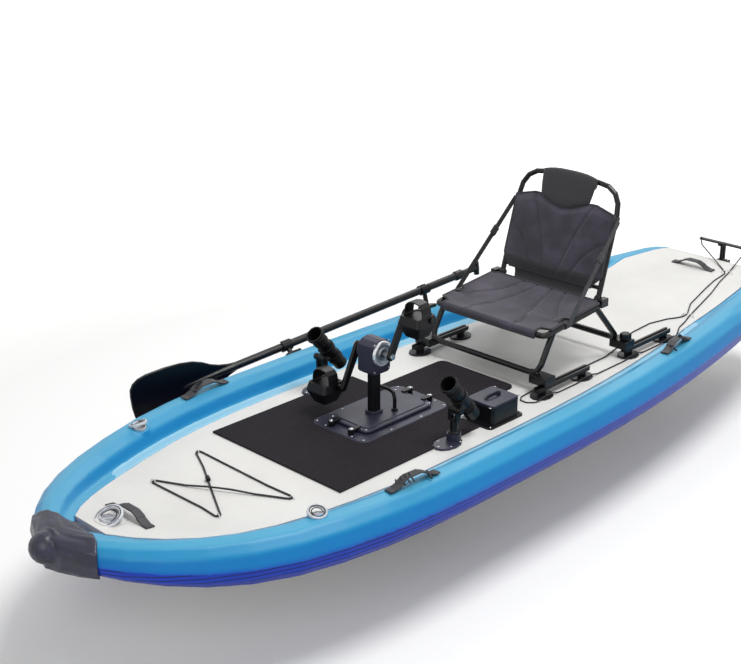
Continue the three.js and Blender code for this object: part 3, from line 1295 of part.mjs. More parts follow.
const panelNotches = [1, -1].flatMap((side) => {
  const outer = side * seat.panelHalf * 2;
  const hingeSide = side * (seat.halfWidth - seat.tube - gap);
  const bandSide = side * (seat.halfWidth - bandInner(seat.tube) - seat.strapThickness - gap);
  const bandHalf = seat.band / 2 + 3 * play;
  return [[hingeSide, panelRear - overrun, seat.railRearX + gap],
    [bandSide, seat.strapFootX - bandHalf, seat.strapFootX + bandHalf]].map(([edge, from, to]) =>
    block(at(from, Math.min(edge, outer), 0), at(to, Math.max(edge, outer), 2 * tall)));
});
add("seat_panel", cut(panelForm, ...panelNotches), fabric, seatGroup);

// Seat back: a hoop on two pivot pins, with a crossbar, a stretched panel and a head pad
const backGroup = new THREE.Group();
backGroup.position.set(seat.hingeX, 0, hingeHeight);
backGroup.rotation.set(0, -seat.lean * RAD, 0);
seatGroup.add(backGroup);
const hoop = (radius) => bentTube([
  at(0, -seat.hoopHalf, 0), at(0, -seat.hoopHalf, seat.backHeight),
  at(0, seat.hoopHalf, seat.backHeight), at(0, seat.hoopHalf, 0),
], radius, seat.hoopBend, 8, 4);
add("seat_back_frame", cut(
  join(
    hoop(seat.hoopTube),
    rodBetween(at(0, -seat.hoopHalf, seat.crossbar), at(0, seat.hoopHalf, seat.crossbar),
      seat.hoopTube * 0.8, 8),
    ...[1, -1].map((side) => place(disc(seat.eyeRadius, side * seat.hoopHalf - seat.hoopTube,
      side * seat.hoopHalf + seat.hoopTube, 12), facingY)),
  ),
  place(disc(seat.hingeRadius + play, -seat.halfWidth, seat.halfWidth, 12), facingY),
), black, backGroup);

const backVs = [0, 0.05, 0.2, 0.45, 0.7, 0.86, 1];
const backSpan = seat.backTop - seat.backBottom;
function backHalfAt(v) {
  const foot = 0.84 + 0.16 * smooth(clamp01(v / 0.16));
  const top = 1 - 0.42 * smooth(clamp01((v - 0.68) / 0.32));
  return seat.backHalf * foot * top;
}
// The panel lies against the front of the hoop, and its head pad is folded over the hoop's top
const backFace = seat.hoopTube + gap;
const backForm = cushion(cushionUs, backVs, (u, v, face) => {
  const spread = Math.abs(u) > 0.9 ? u : fan(u, v) * 0.95;
  const end = v > 0.02 && v < 0.98 ? 1 : 0;
  const thick = seat.backThickness * (0.4 + 0.6 * crown(u) * end);
  const groove = inChannel(u) * seat.channel * end;
  return at(face > 0 ? backFace + thick - groove : backFace, spread * backHalfAt(v),
    seat.backBottom + backSpan * v);
});
const headVs = [0, 0.12, 0.4, 0.6, 0.88, 1];
const headUs = [-1, -0.92, -0.6, 0, 0.6, 0.92, 1];
const headForm = cushion(headUs, headVs, (u, v, face) => {
  const round = Math.sqrt(1 - (2 * v - 1) ** 4);
  const side = Math.sqrt(1 - u ** 8);
  const half = (seat.headThickness / 2) * (0.3 + 0.7 * round * side);
  return at(backFace / 2 + face * half, u * seat.headHalf, seat.headBottom + seat.headHeight * v);
});
add("back_panel", cut(join(backForm, headForm), hoop(seat.hoopTube + gap)), fabric, backGroup);

// Side straps: webbing from the hoop to the rail, looped round both tubes
const lean = seat.lean * RAD;
const strapTop = at(seat.hingeX - seat.strapHigh * Math.sin(lean), 0,
  hingeHeight + seat.strapHigh * Math.cos(lean));
const strapFoot = at(seat.strapFootX, 0, railHeight(seat.strapFootX));
const railSlope = Math.atan((seat.railFront - seat.railRear) / (seat.railFrontX - seat.railRearX)) / RAD;
function bandRing(tube) {
  const inner = bandInner(tube);
  const [outer, half] = [inner + seat.strapThickness, seat.band / 2];
  return turned([[inner, -half], [outer, -half], [outer, half], [inner, half], [inner, -half]], bandSides);
}
for (const [name, side] of [["port", 1], ["starboard", -1]]) {
  const from = strapTop.clone().setY(side * (seat.hoopHalf + seat.hoopTube + 5 * gap + seat.strapThickness / 2));
  const to = strapFoot.clone().setY(side * (seat.halfWidth + seat.tube + 3 * gap + seat.strapThickness / 2));
  const webbingRun = solid(sweep(roundedBar(seat.strapThickness, seat.strapWidth), [from, to]));
  const middle = from.clone().lerp(to, 0.36);
  const dir = to.clone().sub(from).normalize();
  const buckle = solid(sweep(roundedBar(seat.buckleThickness, seat.strapWidth + seat.buckleThickness), [
    middle.clone().addScaledVector(dir, -seat.buckleLength / 2), middle.clone().addScaledVector(dir,
      seat.buckleLength / 2)]));
  add(`${name}_side_strap`, join(
    webbingRun, buckle,
    place(bandRing(seat.hoopTube), chain(shift(strapTop.x, side * seat.hoopHalf, strapTop.z), turn(Y,
      -seat.lean))),
    place(bandRing(seat.tube),
      chain(shift(strapFoot.x, side * seat.halfWidth, strapFoot.z), turn(Y, -railSlope), facingX)),
  ), webbing, seatGroup);
}

// Rudder: bracket and pin on the transom, a head with a yoke, and a blade that kicks up
const transom = deckLine[0].x - gap;
const pinX = transom - rudder.pinBack;
const bracketLug = (low) => join(
  place(disc(rudder.lugRadius, low, low + rudder.lugThickness, 14), shift(pinX, 0, 0)),
  block(at(pinX, -rudder.lugRadius, low), at(transom - rudder.plateThickness / 2, rudder.lugRadius,
    low + rudder.lugThickness)),
);
add("rudder_bracket", join(
  block(at(transom - rudder.plateThickness, -rudder.plateWidth / 2, rudder.plateLow),
    at(transom, rudder.plateWidth / 2, rudder.plateHigh)),
  bracketLug(rudder.lowLug), bracketLug(rudder.highLug),
  place(disc(rudder.pinRadius, rudder.lowLug, rudder.pinTop, 10), shift(pinX, 0, 0)),
), black);

const sleeveLow = rudder.lowLug + rudder.lugThickness + play;
const sleeveHigh = rudder.highLug - play;
const cheekInner = rudder.bladeThickness / 2 + play;
const bladePivotX = -rudder.pivotBack;
const headCheek = (side) => {
  const [near, far] = [side * cheekInner, side * (cheekInner + rudder.cheekThickness)].sort((a, b) => a - b);
  return block(at(-rudder.cheekLength, near, rudder.pivotHeight - rudder.cheekDepth / 2),
    at(-rudder.pinRadius - play, far, rudder.pivotHeight + rudder.cheekDepth / 2));
};
const yokeShape = roundedRect(rudder.yokeWidth, 2 * rudder.yokeHalf, rudder.yokeWidth / 2);
const yokeTipY = rudder.yokeHalf - rudder.yokeWidth / 3;
add("rudder_head", cut(
  join(
    solid(disc(rudder.sleeveRadius, sleeveLow, sleeveHigh, 12)),
    block(at(-rudder.webBack, -rudder.webThickness / 2, sleeveLow), at(-rudder.sleeveRadius * 0.6,
      rudder.webThickness / 2, sleeveHigh)),
    block(at(-rudder.webBack, -rudder.webThickness / 2, sleeveHigh - rudder.webThickness),
      at(-rudder.lugRadius - 2 * play, rudder.webThickness / 2, rudder.yokeHeight)),
    place(slab(yokeShape, rudder.yokeThickness), shift(-rudder.webBack * 0.2, 0, rudder.yokeHeight)),
    block(at(-rudder.webBack, -rudder.webThickness, rudder.yokeHeight - rudder.yokeThickness),
      at(rudder.lugRadius, rudder.webThickness, rudder.yokeHeight + rudder.yokeThickness / 2)),
    headCheek(1), headCheek(-1),
    place(disc(rudder.pivotRadius, -cheekInner - rudder.cheekThickness * 1.6,
      cheekInner + rudder.cheekThickness * 1.6, 10),
      chain(shift(bladePivotX, 0, rudder.pivotHeight), facingY)),
  ),
  solid(disc(rudder.pinRadius + play, 0, rudder.pinTop + play, 10)),
  ...[1, -1].map((side) => place(disc(line.yokeHole, rudder.yokeHeight - overrun, tall * 2, 6),
    shift(-rudder.webBack * 0.2, side * yokeTipY, 0))),
), black).position.set(pinX, 0, 0);

const bladeShape = new THREE.Shape();
bladeShape.absarc(0, 0, rudder.bladeHead, 0, Math.PI);
bladeShape.lineTo(-rudder.bladeHead, -rudder.bladeHead);
bladeShape.quadraticCurveTo(-rudder.bladeChord * 0.72, -rudder.bladeLength * 0.3,
  -rudder.bladeChord * 0.62, -rudder.bladeLength * 0.8);
bladeShape.quadraticCurveTo(-rudder.bladeChord * 0.55, -rudder.bladeLength, -rudder.bladeChord * 0.2,
  -rudder.bladeLength);
bladeShape.quadraticCurveTo(rudder.bladeChord * 0.12, -rudder.bladeLength, rudder.bladeChord * 0.28,
  -rudder.bladeLength * 0.4);
bladeShape.lineTo(rudder.bladeHead, -rudder.bladeHead);
add("rudder_blade", cut(
  acrossY(slab(bladeShape, rudder.bladeThickness, rudder.bladeThickness / 4, 5), rudder.bladeThickness),
  place(disc(rudder.pivotRadius + play, -rudder.bladeChord, rudder.bladeChord, 10), facingY),
), black).position.set(pinX + bladePivotX, 0, rudder.pivotHeight);

// Steering line: one cord from the yoke through two eyelets, forward along the port tracks and back
const lineHeight = lineRadius + gap;
const overBase = track.baseThickness + gap;
const humps = [track.rearX, track.frontX].flatMap((middle) => [-1,
  1].map((end) => middle + end * track.baseGap / 2));
const baseReach = track.baseLength / 2;
const outboard = track.y + track.postRadius + 4 * lineRadius;
const inboard = track.y - track.baseWidth / 2 - 4 * lineRadius;
const onDeck = (x, y, lift = 0) => at(x, y, deckAt(x) + lineHeight + lift);
const yokeX = pinX - rudder.webBack * 0.2;
const yokeEnd = (side) => [
  at(yokeX, side * yokeTipY, rudder.yokeHeight + rudder.yokeThickness + lineRadius * 2),
  at(yokeX, side * yokeTipY, rudder.yokeHeight - lineRadius * 8),
];
const overHumps = humps.flatMap((x) => [
  onDeck(x - baseReach - lineRadius * 3, outboard), onDeck(x - baseReach * 0.9, outboard, overBase),
  onDeck(x + baseReach * 0.9, outboard, overBase), onDeck(x + baseReach + lineRadius * 3, outboard),
]);
// Points laid on the ramp, with one more wherever the run crosses one of the board's rings
function overRamp(points) {
  return points.flatMap((p, i) => {
    if (i === 0) return [p];
    const from = points[i - 1];
    const crossed = deckLine.filter((q) => q.x < hull.rampStart && (q.x - from.x) * (q.x - p.x) < 0)
      .sort((a, b) => Math.abs(a.x - from.x) - Math.abs(b.x - from.x));
    return [...crossed.map((q) => from.clone().lerp(p,
      (q.x - from.x) / (p.x - from.x)).setZ(q.z + lineHeight)), p];
  });
}
const strand = lineRadius * 2;
const laid = ([x, y]) => onDeck(x, y);
const lineRoute = [
  ...yokeEnd(1),
  ...overRamp([onDeck(line.aftX, line.aftY + strand), laid(line.rampOut), onDeck(line.foreX,
    line.foreY + strand),
    laid(line.rampFoot)]),
  ...overHumps, ...line.bight.map(laid), onDeck(line.inboardFront, inboard), onDeck(line.inboardRear,
    inboard),
  ...overRamp([...line.home.map(laid), onDeck(line.foreX, line.foreY - strand), ...line.rampHome.map(laid),
    onDeck(line.aftX, line.aftY - strand)]),
  ...[...yokeEnd(-1)].reverse(),
];
const steering = solid(sweep(circleShape(lineRadius, 4), bends(lineRoute, lineRadius * 12, 1)));
add("steering_line", steering, webbing);

// Paddle clipped along the starboard tube: blade and main shaft, and a grip that telescopes
const neck = at(paddle.neckX, paddle.neckY, paddle.neckZ);
const clampEnd = at(paddle.clampX, paddle.clampY, paddle.clampZ);
const aft = clampEnd.clone().sub(neck);
const shaftLength = aft.length();
aft.normalize();
const upward = Z.clone().addScaledVector(aft, -Z.dot(aft)).normalize();
const outward = aft.clone().cross(upward);
// Local X forward along the shaft, Y up across the blade
const paddleFrame = new THREE.Matrix4().makeBasis(aft.clone().negate(), upward,
  outward.clone().negate()).setPosition(neck);
const bladeOutline = new THREE.Shape();
const { bladeLength: reach, bladeHalf: wideHalf } = paddle;
bladeOutline.moveTo(0, paddle.shaftRadius * 0.9);
bladeOutline.quadraticCurveTo(reach * 0.2, wideHalf * 0.2, reach * 0.33, wideHalf * 0.62);
bladeOutline.quadraticCurveTo(reach * 0.48, wideHalf, reach * 0.84, wideHalf * 0.98);
bladeOutline.quadraticCurveTo(reach * 1.01, wideHalf * 0.94, reach, wideHalf * 0.4);
bladeOutline.quadraticCurveTo(reach * 1.01, -wideHalf * 0.5, reach * 0.93, -wideHalf * 0.85);
bladeOutline.quadraticCurveTo(reach * 0.6, -wideHalf * 1.1, reach * 0.34, -wideHalf * 0.8);
bladeOutline.quadraticCurveTo(reach * 0.2, -wideHalf * 0.3, 0, -paddle.shaftRadius * 0.9);
const onShaft = (geometry) => place(geometry, chain(paddleFrame, turn(Y, -90)));
const bladePart = cut(
  join(
    place(slab(bladeOutline, paddle.bladeThickness, paddle.bladeThickness / 4, 4),
      chain(paddleFrame, shift(0, 0, -paddle.bladeThickness / 2))),
    onShaft(turned([[0, -paddle.spine], [paddle.shaftRadius * 0.4, -paddle.spine], [paddle.shaftRadius,
      -paddle.clampLength / 2],
      [paddle.shaftRadius, shaftLength - paddle.clampLength * 0.9], [paddle.clampRadius,
        shaftLength - paddle.clampLength * 0.8],
      [paddle.clampRadius, shaftLength], [0, shaftLength]], 12)),
  ),
  onShaft(disc(paddle.bore, shaftLength - paddle.inserted - 1.1 * paddle.pushIn, shaftLength + overrun, 12)),
);
add("paddle_blade", bladePart, black);
add("paddle_grip", join(
  onShaft(disc(paddle.gripRadius, shaftLength - paddle.inserted, shaftLength + paddle.gripLength, 12)),
  place(turned([[0, -paddle.teeLength / 2], [paddle.teeRadius * 0.8, -paddle.teeLength / 2],
    [paddle.teeRadius * 0.9, 0], [paddle.teeRadius * 0.8, paddle.teeLength / 2], [0,
      paddle.teeLength / 2]], 10),
  chain(paddleFrame, shift(-shaftLength - paddle.gripLength, 0, 0), turn(X, 90))),
), black);

// Snap clips that hold the paddle's shaft, their pads saddled to the starboard tube
const starboardClear = sideTube(-1, gap);
for (const [name, x] of [["paddle_clip_forward", clip.forwardX], ["paddle_clip_aft", clip.aftX]]) {
  const held = neck.clone().addScaledVector(aft, (x - paddle.neckX) / aft.x);
  const centre = at(x, -axisHalf(x), hull.tubeLift + tubeRadiusAt(x));
  const away = held.clone().sub(centre).setX(0).normalize();
  const tubeLean = -Math.atan2(-away.y, away.z) / RAD;
  const seatFrame = tubeFrame(x, -1, tubeLean);
  const pad = place(slab(roundedRect(clip.padLength, clip.padWidth, clip.padWidth / 4), clip.padThickness,
    0, 2),
    chain(seatFrame, shift(0, 0, -clip.padThickness / 2)));
  const foot = centre.clone().addScaledVector(away, tubeRadiusAt(x));
  const ring = place(disc(paddle.shaftRadius + clip.wall, -clip.length / 2, clip.length / 2, 12),
    chain(shift(held.x, held.y, held.z), along(aft)));
  const shaftHole = place(disc(paddle.shaftRadius + 2 * gap, -clip.length, clip.length, 12),
    chain(shift(held.x, held.y, held.z), along(aft)));
  const mouthFrame = new THREE.Matrix4().makeBasis(aft, away.clone().cross(aft).negate(),
    away).setPosition(held);
  const mouth = place(cuboid(clip.length * 2, clip.mouth, clip.length), chain(mouthFrame, shift(0, 0,
    clip.length / 2)));
  add(name, cut(join(pad, rodBetween(foot, held, clip.postRadius, 8), ring), shaftHole, mouth,
    starboardClear), black);
}

export default kayak;
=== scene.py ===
import math

import bmesh
import bpy
from mathutils import Matrix, Vector
from mathutils.bvhtree import BVHTree


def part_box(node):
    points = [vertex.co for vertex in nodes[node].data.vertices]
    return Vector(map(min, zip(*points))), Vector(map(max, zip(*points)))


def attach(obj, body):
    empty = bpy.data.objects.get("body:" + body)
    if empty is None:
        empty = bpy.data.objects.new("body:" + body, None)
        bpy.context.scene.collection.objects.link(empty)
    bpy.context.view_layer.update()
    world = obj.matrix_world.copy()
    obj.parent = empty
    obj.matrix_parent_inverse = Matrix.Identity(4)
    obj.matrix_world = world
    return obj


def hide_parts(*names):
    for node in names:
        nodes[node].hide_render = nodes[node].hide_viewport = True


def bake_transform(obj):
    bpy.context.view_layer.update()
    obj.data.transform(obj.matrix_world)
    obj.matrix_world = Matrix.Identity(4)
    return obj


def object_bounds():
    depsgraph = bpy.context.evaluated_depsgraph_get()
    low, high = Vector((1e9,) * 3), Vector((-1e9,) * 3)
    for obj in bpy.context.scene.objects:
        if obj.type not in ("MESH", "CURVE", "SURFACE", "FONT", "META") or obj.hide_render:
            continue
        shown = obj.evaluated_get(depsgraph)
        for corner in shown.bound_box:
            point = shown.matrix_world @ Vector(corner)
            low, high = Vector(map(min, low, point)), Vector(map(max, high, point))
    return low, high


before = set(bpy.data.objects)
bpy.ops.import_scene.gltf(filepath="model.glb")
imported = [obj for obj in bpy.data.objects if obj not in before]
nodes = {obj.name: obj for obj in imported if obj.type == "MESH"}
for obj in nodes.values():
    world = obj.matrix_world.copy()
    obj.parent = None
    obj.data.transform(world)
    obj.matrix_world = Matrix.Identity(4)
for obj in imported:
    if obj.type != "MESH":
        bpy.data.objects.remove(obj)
packed_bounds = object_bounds()
MM = 0.001


# ---- Studio: camera, pale floor and soft lights
# The camera stands off the port bow, a little above the seat, as the photograph was taken. The floor lies
# under the propeller and the rudder, which hang below the flat bottom of the hull.
def link(data, name, body=None, material=None):
    piece = bpy.data.objects.new(name, data)
    bpy.context.scene.collection.objects.link(piece)
    if material is not None:
        piece.data.materials.append(material)
    if body is not None:
        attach(piece, body)
    return piece


def colour(hex_value):
    """sRGB hex to the linear values that shaders take."""
    channels = [int(hex_value[i:i + 2], 16) / 255 for i in (1, 3, 5)]
    return tuple(c / 12.92 if c <= 0.04045 else ((c + 0.055) / 1.055) ** 2.4 for c in channels) + (1.0,)


def add_node(tree, kind, links=None, **settings):
    """Adds one shader node, sets its fields, and fills or links its inputs."""
    node = tree.nodes.new("ShaderNode" + kind)
    for name, value in settings.items():
        setattr(node, name, value)
    for name, value in (links or {}).items():
        socket = node.inputs[name]
        if isinstance(value, bpy.types.NodeSocket):
            tree.links.new(value, socket)
        else:
            socket.default_value = value
    return node


def new_finish(name, **sockets):
    """A material with one Principled shader, whose plain numbers sit on its own sockets."""
    material = bpy.data.materials.new(name)
    material.use_nodes = True
    tree = material.node_tree
    tree.nodes.clear()
    shader = add_node(tree, "BsdfPrincipled", sockets)
    add_node(tree, "OutputMaterial", {"Surface": shader.outputs[0]})
    return material, tree, shader


camera_azimuth, camera_elevation = math.radians(44.43), math.radians(21.26)
looking = Vector((
    -math.cos(camera_azimuth) * math.cos(camera_elevation),
    -math.sin(camera_azimuth) * math.cos(camera_elevation),
    -math.sin(camera_elevation),
))
lens = bpy.data.cameras.new("camera")
lens.lens = 66.2
lens.sensor_width = 36
lens.clip_end = 60
camera = link(lens, "camera")
camera.location = (3.309, 2.831, 1.982)
camera.rotation_euler = looking.to_track_quat("-Z", "Y").to_euler()
bpy.context.scene.camera = camera
bpy.context.scene.view_settings.view_transform = "Standard"

floor_height = packed_bounds[0][2] - 0.004
floor_form = bmesh.new()
bmesh.ops.create_grid(floor_form, x_segments=1, y_segments=1, size=30)
floor_mesh = bpy.data.meshes.new("studio_floor")
floor_form.to_mesh(floor_mesh)
paper, paper_tree, paper_shader = new_finish("Seamless studio paper", Roughness=0.9, **{
    "Base Color": colour("#F4F4F3"), "Emission Color": (1, 1, 1, 1)})
paper_ray = add_node(paper_tree, "LightPath")
paper_place = add_node(paper_tree, "TexCoord")
paper_reach = add_node(paper_tree, "VectorMath", {0: paper_place.outputs["Object"]}, operation="LENGTH")
paper_far = add_node(paper_tree, "MapRange", {
    "Value": paper_reach.outputs["Value"], "From Min": 2.0, "From Max": 6.0, "To Min": 0.02, "To Max": 0.9})
paper_lift = add_node(paper_tree, "Math", {
    0: paper_ray.outputs["Is Camera Ray"], 1: paper_far.outputs[0]}, operation="MULTIPLY")
paper_tree.links.new(paper_lift.outputs[0], paper_shader.inputs["Emission Strength"])
studio_floor = link(floor_mesh, "studio_floor", material=paper)
studio_floor.location = (0, 0, floor_height)

world = bpy.data.worlds.new("studio")
bpy.context.scene.world = world
world.use_nodes = True
sky = world.node_tree
sky.nodes.clear()
sky_ray = add_node(sky, "LightPath")
sky_seen = add_node(sky, "Math", {
    0: sky_ray.outputs["Is Camera Ray"], 1: sky_ray.outputs["Is Glossy Ray"]}, operation="MAXIMUM")
sky_strength = add_node(sky, "MapRange", {"Value": sky_seen.outputs[0], "To Min": 0.46, "To Max": 1.0})
sky_light = add_node(sky, "Background", {"Color": (1, 1, 1, 1), "Strength": sky_strength.outputs[0]})
add_node(sky, "OutputWorld", {"Surface": sky_light.outputs[0]})

for name, at, size, watts in (
    ("key_light", (-0.6, 1.2, 5.2), 2.4, 200),
    ("fill_light", (4.4, 2.6, 3.0), 3.2, 60),
    ("back_light", (-3.4, -2.2, 3.6), 2.8, 50),
):
    lamp = bpy.data.lights.new(name, "AREA")
    lamp.shape = "DISK"
    lamp.size = size
    lamp.energy = watts
    lit = link(lamp, name)
    lit.location = at
    lit.rotation_euler = (Vector((0, 0, 0.2)) - Vector(at)).to_track_quat("-Z", "Y").to_euler()


# ---- Side tubes
# Two air chambers of coated fabric, sewn and welded into long tubes and blown hard. They meet at the bow.
# Painted highlight and shade turn the blue pale on top and deep below; a printed darker band of fine lines
# runs low outside.
def object_spot(tree):
    return add_node(tree, "TexCoord").outputs["Object"]


def ramp(tree, value, stops):
    node = add_node(tree, "ValToRGB", {"Fac": value})
    elements = node.color_ramp.elements
    while len(elements) < len(stops):
        elements.new(0.5)
    for element, (position, shade) in zip(elements, stops):
        element.position = position
        element.color = colour(shade)
    return node.outputs["Color"]


def tint(tree, shader, value, stops):
    """Colours a finish by a ramp over a pattern."""
    tree.links.new(ramp(tree, value, stops), shader.inputs["Base Color"])


def roughen(tree, shader, height, strength, depth_mm, edge_mm=0.0):
    """Surface relief from a pattern; edge_mm rounds the look of moulded edges."""
    bump = add_node(tree, "Bump", {"Height": height, "Strength": strength, "Distance": depth_mm * MM})
    if edge_mm:
        rounded = add_node(tree, "Bevel", {"Radius": edge_mm * MM}, samples=4)
        tree.links.new(rounded.outputs[0], bump.inputs["Normal"])
    tree.links.new(bump.outputs[0], shader.inputs["Normal"])


def smooth_copy(node_name, piece_name, body, voxel_mm, rounds, finish):
    """A new object with the solid's form, remeshed finely and relaxed so that its facets go."""
    mesh = nodes[node_name].data.copy()
    mesh.materials.clear()
    piece = link(mesh, piece_name)
    fine = piece.modifiers.new("remesh", "REMESH")
    fine.mode = "VOXEL"
    fine.voxel_size = voxel_mm * MM
    # Each round smooths the skin and then swells it back, so that it doesn't shrink
    for factor in (0.5, -0.42) * rounds:
        relax = piece.modifiers.new("relax", "SMOOTH")
        relax.factor = factor
        relax.iterations = 2
    relaxed = piece.evaluated_get(bpy.context.evaluated_depsgraph_get())
    settled = bpy.data.meshes.new_from_object(relaxed)
    piece.modifiers.clear()
    piece.data = settled
    settled.name = piece_name
    settled.materials.clear()
    settled.materials.append(finish)
    settled.shade_smooth()
    if body is not None:
        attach(piece, body)
    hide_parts(node_name)
    return piece


# Coated polyester (PVC on cloth), calendered: satin, with a faint pebble and slow dents between seams
tube_fabric, tree, shader = new_finish(
    "Coated PVC tube fabric", Roughness=0.36, **{"Specular IOR Level": 0.22})
spot = object_spot(tree)
axes = add_node(tree, "SeparateXYZ", {"Vector": spot}).outputs
faces = add_node(tree, "NewGeometry")
facing = add_node(tree, "SeparateXYZ", {"Vector": faces.outputs["Normal"]})
# Painted highlight and shade: the blue is picked by which way the skin faces, pale facing up and deep facing
# down
lift = add_node(tree, "MapRange", {"Value": facing.outputs["Z"], "From Min": -1.0, "From Max": 1.0})
blue_with_painted_shade = ramp(tree, lift.outputs[0], (
    (0.0, "#06207A"), (0.28, "#0A30A4"), (0.42, "#0C4EBA"), (0.56, "#0F6CBC"), (0.74, "#147AB4"),
    (0.9, "#2A8AB8"), (1.0, "#4A9CBF"),
))
lines = add_node(tree, "TexWave", {"Vector": spot, "Scale": 22.0, "Distortion": 0.0}, bands_direction="Z")
line_share = add_node(tree, "Math", {0: lines.outputs["Fac"], 1: 0.8}, operation="GREATER_THAN")
band_low = add_node(tree, "MapRange", {"Value": facing.outputs["Z"], "From Min": -0.62, "From Max": -0.58})
band_high = add_node(tree, "MapRange", {"Value": facing.outputs["Z"], "From Min": -0.08, "From Max": -0.14})
band = add_node(tree, "Math", {0: band_low.outputs[0], 1: band_high.outputs[0]}, operation="MULTIPLY")
fine_lines = add_node(tree, "Math", {0: band.outputs[0], 1: line_share.outputs[0]}, operation="MULTIPLY")
banded = add_node(tree, "Mix", {
    "Factor": band.outputs[0], "A": blue_with_painted_shade, "B": colour("#0B36AC")}, data_type="RGBA")
lined = add_node(tree, "Mix", {
    "Factor": fine_lines.outputs[0], "A": banded.outputs["Result"], "B": colour("#082064")}, data_type="RGBA")
low_edge = add_node(tree, "Math", {0: axes["Z"], 1: 0.106}, operation="LESS_THAN")
high_face = add_node(tree, "Math", {0: facing.outputs["Z"], 1: 0.82}, operation="GREATER_THAN")
seam_share = add_node(tree, "Math", {0: low_edge.outputs[0], 1: high_face.outputs[0]}, operation="MULTIPLY")
seamed = add_node(tree, "Mix", {
    "Factor": seam_share.outputs[0], "A": lined.outputs["Result"], "B": colour("#88BCD4")}, data_type="RGBA")
mottle = add_node(tree, "TexNoise", {"Vector": spot, "Scale": 6.0, "Detail": 3.0})
shade = add_node(tree, "MapRange", {"Value": mottle.outputs["Fac"], "To Min": 0.93, "To Max": 1.07})
tube_tone = add_node(tree, "HueSaturation", {"Value": shade.outputs[0], "Color": seamed.outputs["Result"]})
tree.links.new(tube_tone.outputs[0], shader.inputs["Base Color"])
pebble = add_node(tree, "TexNoise", {"Vector": spot, "Scale": 420.0, "Detail": 2.0})
roughen(tree, shader, pebble.outputs["Fac"], 0.18, 0.6)

for side in ("port", "starboard"):
    smooth_copy(f"{side}_side_tube", f"{side}_tube_skin", "hull", 6, 9, tube_fabric)


# ---- Floor board
# A drop-stitch panel: two white coated sheets tied by thousands of threads, so it stays flat when blown hard.
# Its deck skin is matt and faintly dimpled by the threads.
deck_fabric, tree, shader = new_finish("Drop-stitch deck fabric", Roughness=0.58)
spot = object_spot(tree)
soil = add_node(tree, "TexNoise", {"Vector": spot, "Scale": 3.2, "Detail": 5.0, "Roughness": 0.6})
tint(tree, shader, soil.outputs["Fac"], ((0.3, "#C9C8C5"), (0.55, "#D2D1CE"), (0.8, "#D8D7D4")))
dimple = add_node(tree, "TexVoronoi", {"Vector": spot, "Scale": 150.0})
roughen(tree, shader, dimple.outputs["Distance"], 0.12, 0.8)


# ---- Bow bumper
# A cap of thick moulded rubber glued over the point where the tubes meet, with a round nose and a raised rib.
# It is scuffed pale along its edges.
bumper_rubber, tree, shader = new_finish("Moulded bumper rubber", Roughness=0.36)
spot = object_spot(tree)
ribs = add_node(tree, "TexWave", {"Vector": spot, "Scale": 15.0, "Distortion": 0.4}, bands_direction="X")
scuff = add_node(tree, "TexNoise", {"Vector": spot, "Scale": 30.0, "Detail": 6.0})
tint(tree, shader, scuff.outputs["Fac"], ((0.35, "#181A28"), (0.6, "#212338"), (0.85, "#34374F")))
roughen(tree, shader, ribs.outputs["Fac"], 0.12, 0.8)
smooth_copy("bow_bumper", "bumper_cap", "hull", 4, 7, bumper_rubber)


# ---- Deck pad
# Closed-cell foam sheet, grooved by a router along the boat for grip, with a self-adhesive back.
# The grooves are about 9 mm apart, and their floors are painted near black as shade, so they show as fine
# dark lines.
groove_pitch = 9.0
pad_foam, tree, shader = new_finish("Grooved EVA foam", Roughness=0.85, **{"Specular IOR Level": 0.18})
spot = object_spot(tree)
axes = add_node(tree, "SeparateXYZ", {"Vector": spot}).outputs
across = add_node(tree, "Math", {0: axes["Y"], 1: 2 * math.pi / (groove_pitch * MM)}, operation="MULTIPLY")
groove_wave = add_node(tree, "Math", {0: across.outputs[0]}, operation="SINE")
groove = add_node(tree, "MapRange", {"Value": groove_wave.outputs[0], "From Min": -0.9, "From Max": 0.2})
cells = add_node(tree, "TexNoise", {"Vector": spot, "Scale": 260.0, "Detail": 3.0})
cell_light = add_node(tree, "MapRange", {"Value": cells.outputs["Fac"], "To Min": 0.5, "To Max": 1.3})
# Painted shade in the groove floors, times the foam's own random pale speckle
groove_shade_and_speckle = add_node(tree, "Math", {0: groove.outputs[0], 1: cell_light.outputs[0]}, operation="MULTIPLY")
tint(tree, shader, groove_shade_and_speckle.outputs[0], ((0.0, "#010101"), (0.45, "#0B090C"), (1.0, "#2C272D")))
roughen(tree, shader, groove.outputs[0], 0.9, 1.6)


# ---- Slate plastic mouldings: well frame, drive plate, gear head, box lid, rod holders' feet
# Glass-filled nylon and ABS, injection moulded in a dark slate with a spark-eroded grain.
slate_plastic, tree, shader = new_finish("Moulded slate nylon", Roughness=0.4, **{"Specular IOR Level": 0.35})
spot = object_spot(tree)
grain = add_node(tree, "TexNoise", {"Vector": spot, "Scale": 340.0, "Detail": 4.0})
cloud = add_node(tree, "TexNoise", {"Vector": spot, "Scale": 9.0, "Detail": 3.0})
tint(tree, shader, cloud.outputs["Fac"], ((0.3, "#20202F"), (0.55, "#282839"), (0.8, "#323245")))
roughen(tree, shader, grain.outputs["Fac"], 0.3, 0.5, 2.5)

